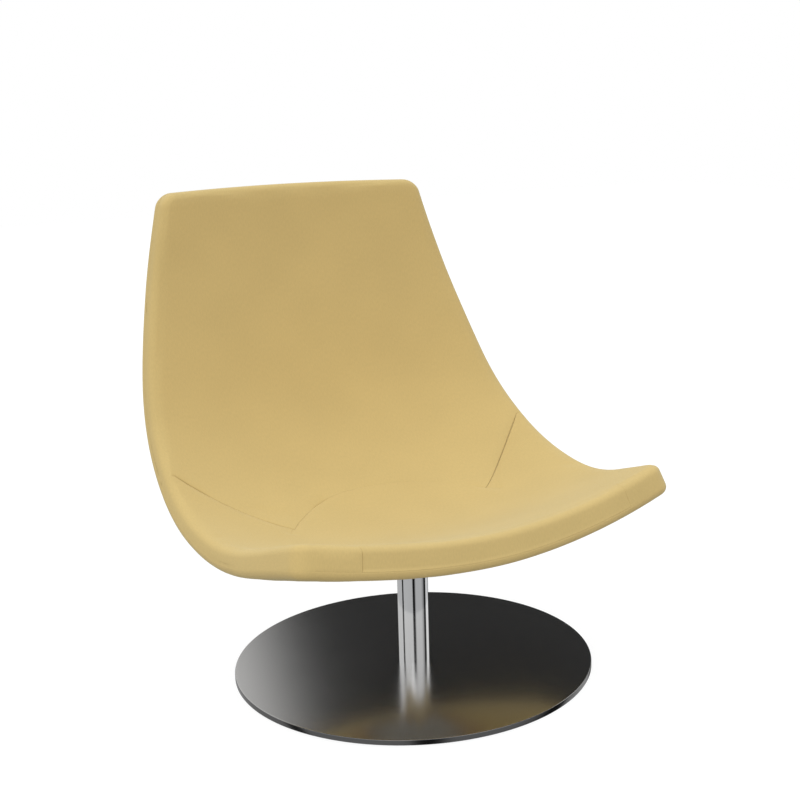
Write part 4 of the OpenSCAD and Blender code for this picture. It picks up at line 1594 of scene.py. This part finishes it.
@dataclass
class SeatMounting:
    """What carries the shell: spindle, plate, screws and the spacer block."""

    cover_wall: float = 2.5
    cover_edge: float = 0.9
    spindle_gap: float = 0.05
    screw_count: int = 4
    screw_pitch: float = 130.0
    screw_phase_deg: float = 45.0
    screw_turn_deg: float = 60.0
    screw_radius: float = 4.0
    screw_point: float = 0.7
    screw_sides: int = 36
    head_height: float = 5.28
    head_across: float = 13.0
    head_chamfer: float = 0.55
    head_face_share: float = 0.94
    washer_radius: float = 8.0
    washer_gap: float = 0.1
    washer_edge: float = 0.3

    def _screws(self, finishes: Finishes) -> None:
        """Makes the hexagon screws and their washers on the seat plate's corners."""
        low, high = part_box("seat_screws")
        radius, length = self.screw_pitch / math.sqrt(2), (high.z - low.z) / MM
        sides = self.screw_sides
        flat = self.head_across / 2
        hexagon = [flat / math.cos((2 * math.pi * k / sides) % (math.pi / 3) - math.pi / 6)
                   for k in range(sides)]
        shank = [self.screw_radius] * sides
        screw = lofted("screw", [
            ([flat * self.head_face_share] * sides, 0.0), (hexagon, self.head_chamfer),
            (hexagon, self.head_height), (shank, self.head_height),
            (shank, length - self.screw_point),
            ([self.screw_radius - self.screw_point] * sides, length)], finishes.steel)
        placed = Around("seat_screws_rolled", self.screw_count, radius, low.z / MM,
                        self.screw_phase_deg, self.screw_turn_deg)
        settle(placed.build(screw, finishes.steel), "seat", "steel", "seat_screws")
        low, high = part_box("seat_washers")
        thick, edge = (high.z - low.z) / MM, self.washer_edge
        bore, rim = self.screw_radius + self.washer_gap, self.washer_radius
        washer = turned("washer", rounded(
            [(bore, 0), (rim, 0), (rim, thick), (bore, thick)], [0, edge, edge, 0], steps=3),
            finishes.steel, segments=64, closed=True)
        placed = Around("seat_washers_stamped", self.screw_count, radius, low.z / MM,
                        self.screw_phase_deg)
        settle(placed.build(washer, finishes.steel), "seat", "steel", "seat_washers")

    def build(self, finishes: Finishes, nodes: Bodies) -> None:
        """Builds the turned cover and dresses the CAD pieces."""
        low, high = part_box("column_cover")
        outer = high.x / MM
        wall, edge = self.cover_wall, self.cover_edge
        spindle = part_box("swivel_spindle")[1].x / MM + self.spindle_gap
        top = high.z / MM
        cap = turned("column_cover_turned", rounded(
            [(outer - wall, low.z / MM), (outer, low.z / MM), (outer, top), (spindle, top),
             (spindle, top - wall), (outer - wall, top - wall)],
            [edge, edge, edge, 0, 0, 0]), finishes.chrome, closed=True)
        settle(cap, "seat", "column_chrome", "column_cover")
        self._screws(finishes)
        dress(nodes, finishes.steel, "thrust_race_upper", "swivel_spindle", "retaining_washer")
        dress(nodes, finishes.black, "retaining_ring")
        dress(nodes, finishes.grey, "seat_plate")
        dress(nodes, finishes.brass, "block_inserts")
        dress(nodes, finishes.wood, "spacer_block", "shell_core")


def dress(nodes: Bodies, material: bpy.types.Material, *names: str) -> None:
    """Gives CAD nodes a finish.

    Args:
        nodes: The CAD nodes by name.
        material: The finish.
        *names: The nodes to dress.
    """
    for name in names:
        slots = nodes[name].data.materials
        slots.clear()
        slots.append(material)
        LOG.info("%s is dressed in %s", name, material.name)


@dataclass(frozen=True)
class Lamp:
    """A soft box beside the chair."""

    name: str
    place: tuple[float, float, float]
    aim: tuple[float, float, float]
    size: tuple[float, float]
    watts: float

    def build(self) -> None:
        """Hangs the lamp."""
        light = bpy.data.lights.new(self.name, "AREA")
        light.shape = "RECTANGLE"
        light.size, light.size_y = self.size
        light.energy = self.watts
        lamp = bpy.data.objects.new(self.name, light)
        lamp.location = self.place
        lamp.rotation_euler = (Vector(self.aim) - Vector(self.place)).to_track_quat(
            "-Z", "Y").to_euler()
        bpy.context.scene.collection.objects.link(lamp)


@dataclass(frozen=True)
class Panel:
    """A stop in the ring of light panels round the studio."""

    bearing_deg: float
    colour: str


@dataclass
class Studio:
    """A plain pale floor in a white room: four tall light panels and a soft ceiling.

    Bearings are measured from +X, anticlockwise from above. The dark gaps between the
    panels are what the polished column shows as stripes, and the gap behind the chair
    is what keeps the base plate dark.
    """

    floor_radius: float = 9.0
    floor_colour: str = "#b2b2b2"
    floor_shade: str = "#808080"
    floor_white: float = 0.84
    wall_strength: float = 1.3
    floor_share: float = 0.55
    horizon: float = 0.02
    ceiling_colour: str = "#dcdcdc"
    ceiling_from: tuple[float, float] = (0.84, 0.96)
    soft_low: float = 0.45
    soft_high: float = 1.58
    soft_left: float = 0.3
    sky_colours: tuple[str, str] = ("#fffdf8", "#f0f8ff")
    ring: tuple[Panel, ...] = (
        Panel(-180, "#d8d8d8"), Panel(-126, "#d4d4d4"), Panel(-121, "#1c1c1c"),
        Panel(-109, "#1c1c1c"), Panel(-100, "#d0d0d0"), Panel(-57, "#d0d0d0"),
        Panel(-39, "#a0a0a0"), Panel(-31, "#1c1c1c"), Panel(-15, "#1c1c1c"),
        Panel(-10, "#f4f4f4"), Panel(22, "#fafafa"), Panel(34, "#2a2a2a"),
        Panel(65.5, "#222222"), Panel(70.5, "#c8c8c8"), Panel(95, "#d8d8d8"),
        Panel(151, "#d8d8d8"), Panel(154, "#161616"), Panel(164, "#161616"),
        Panel(167, "#d8d8d8"), Panel(180, "#d8d8d8"))
    lamps: tuple[Lamp, ...] = (
        Lamp("key", (-1.7, -2.4, 3.0), (0.0, 0.0, 0.4), (2.4, 2.4), 16.0),)

    def build(self) -> None:
        """Builds the floor, the room's light and the lamps."""
        self._floor()
        self._room()
        for lamp in self.lamps:
            lamp.build()

    def _floor(self) -> None:
        """Lays a pale floor that shows white, keeps the shadow and lets gloss see the room."""
        material = bpy.data.materials.new("studio floor, pale")
        material.use_nodes = True
        material.node_tree.nodes.clear()
        tree = Tree(material.node_tree)
        ray = tree.put("ShaderNodeLightPath").outputs
        pale = tree.put("ShaderNodeBsdfDiffuse", {"Color": srgb(self.floor_colour)})
        shade = tree.put("ShaderNodeBsdfDiffuse", {"Color": srgb(self.floor_shade)})
        white = tree.put("ShaderNodeEmission", {
            "Color": srgb("#ffffff"), "Strength": self.floor_white})
        seen = tree.put("ShaderNodeAddShader", {0: shade.outputs[0], 1: white.outputs[0]})
        shown = tree.blend(ray[Ray.CAMERA.value], pale, seen)
        mirrored = tree.math("MAXIMUM", ray[Ray.GLOSSY.value], ray[Ray.TRANSMISSION.value])
        mixed = tree.blend(mirrored, shown, tree.put("ShaderNodeBsdfTransparent"))
        tree.put("ShaderNodeOutputMaterial", {"Surface": mixed.outputs[0]})
        r = self.floor_radius / MM
        floor = mesh_object("studio_floor", np.array(
            [(-r, -r, 0), (r, -r, 0), (r, r, 0), (-r, r, 0)]), [(0, 1, 2, 3)], material)

    def _room(self) -> None:
        """Lights the room softly, shows it white, and shows its panels to gloss."""
        world = bpy.data.worlds.new("studio room")
        bpy.context.scene.world = world
        world.use_nodes = True
        world.node_tree.nodes.clear()
        tree = Tree(world.node_tree)
        around = tree.put("ShaderNodeTexCoord").outputs["Generated"]
        part = tree.put("ShaderNodeSeparateXYZ", {"Vector": around}).outputs
        ray = tree.put("ShaderNodeLightPath").outputs
        turn = tree.math("ARCTAN2", part["Y"], part["X"])
        wall = tree.ramp(tree.span(turn, 0.0, 1.0, -math.pi, math.pi), [
            ((p.bearing_deg + 180) / 360, p.colour) for p in self.ring])
        ceiling = tree.span(part["Z"], 0.0, 1.0, *self.ceiling_from)
        below = tree.span(part["Z"], self.wall_strength * self.floor_share,
                          self.wall_strength, -self.horizon, self.horizon)
        mirrored = tree.put("ShaderNodeBackground", {
            "Color": tree.mix(ceiling, wall, srgb(self.ceiling_colour)), "Strength": below})
        height = tree.span(part["Z"], self.soft_low, self.soft_high)
        left = tree.span(part["X"], 0.0, self.soft_left, 0.0, -1.0)
        sky = tree.mix(part["Z"], *(srgb(code) for code in self.sky_colours))
        soft = tree.put("ShaderNodeBackground", {
            "Color": sky, "Strength": tree.math("ADD", height, left)})
        white = tree.put("ShaderNodeBackground", {"Color": srgb("#ffffff"), "Strength": 1.0})
        lit = tree.blend(ray[Ray.GLOSSY.value], soft, mirrored)
        mixed = tree.blend(ray[Ray.CAMERA.value], lit, white)
        tree.put("ShaderNodeOutputWorld", {"Surface": mixed.outputs[0]})


@dataclass
class Photographer:
    """The camera at the photograph's place, whose frame was cut from a wider picture."""

    place: tuple[float, float, float] = (-1.31435, -2.14531, 1.12776)
    right: tuple[float, float, float] = (0.81463, -0.57989, -0.01051)
    up: tuple[float, float, float] = (0.14199, 0.18183, 0.97302)
    back: tuple[float, float, float] = (-0.56234, -0.79414, 0.23046)
    lens: float = 61.287
    shift: float = -0.12
    sensor: float = 36.0
    clip: tuple[float, float] = (0.05, 60.0)

    def build(self) -> None:
        """Stands the camera up and makes it the scene's own."""
        data = bpy.data.cameras.new("camera")
        data.lens = self.lens
        data.sensor_width = self.sensor
        data.shift_x = self.shift
        data.clip_start, data.clip_end = self.clip
        camera = bpy.data.objects.new("camera", data)
        turn = Matrix((self.right, self.up, self.back)).transposed().to_4x4()
        camera.matrix_world = Matrix.Translation(self.place) @ turn
        bpy.context.scene.collection.objects.link(camera)
        bpy.context.scene.camera = camera


def main() -> None:
    """Builds the chair, its studio and its camera."""
    logging.basicConfig(level=logging.INFO, format="%(message)s")
    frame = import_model()
    Photographer().build()
    finishes = Finishes()
    nodes = frame["nodes"]
    Pedestal().build(finishes, nodes)
    SeatMounting().build(finishes, nodes)
    Upholstery().build(finishes)
    Studio().build()
    scene = bpy.context.scene
    scene.view_settings.view_transform = "Standard"
    LOG.info("the chair is dressed")


if __name__ == "__main__":
    main()
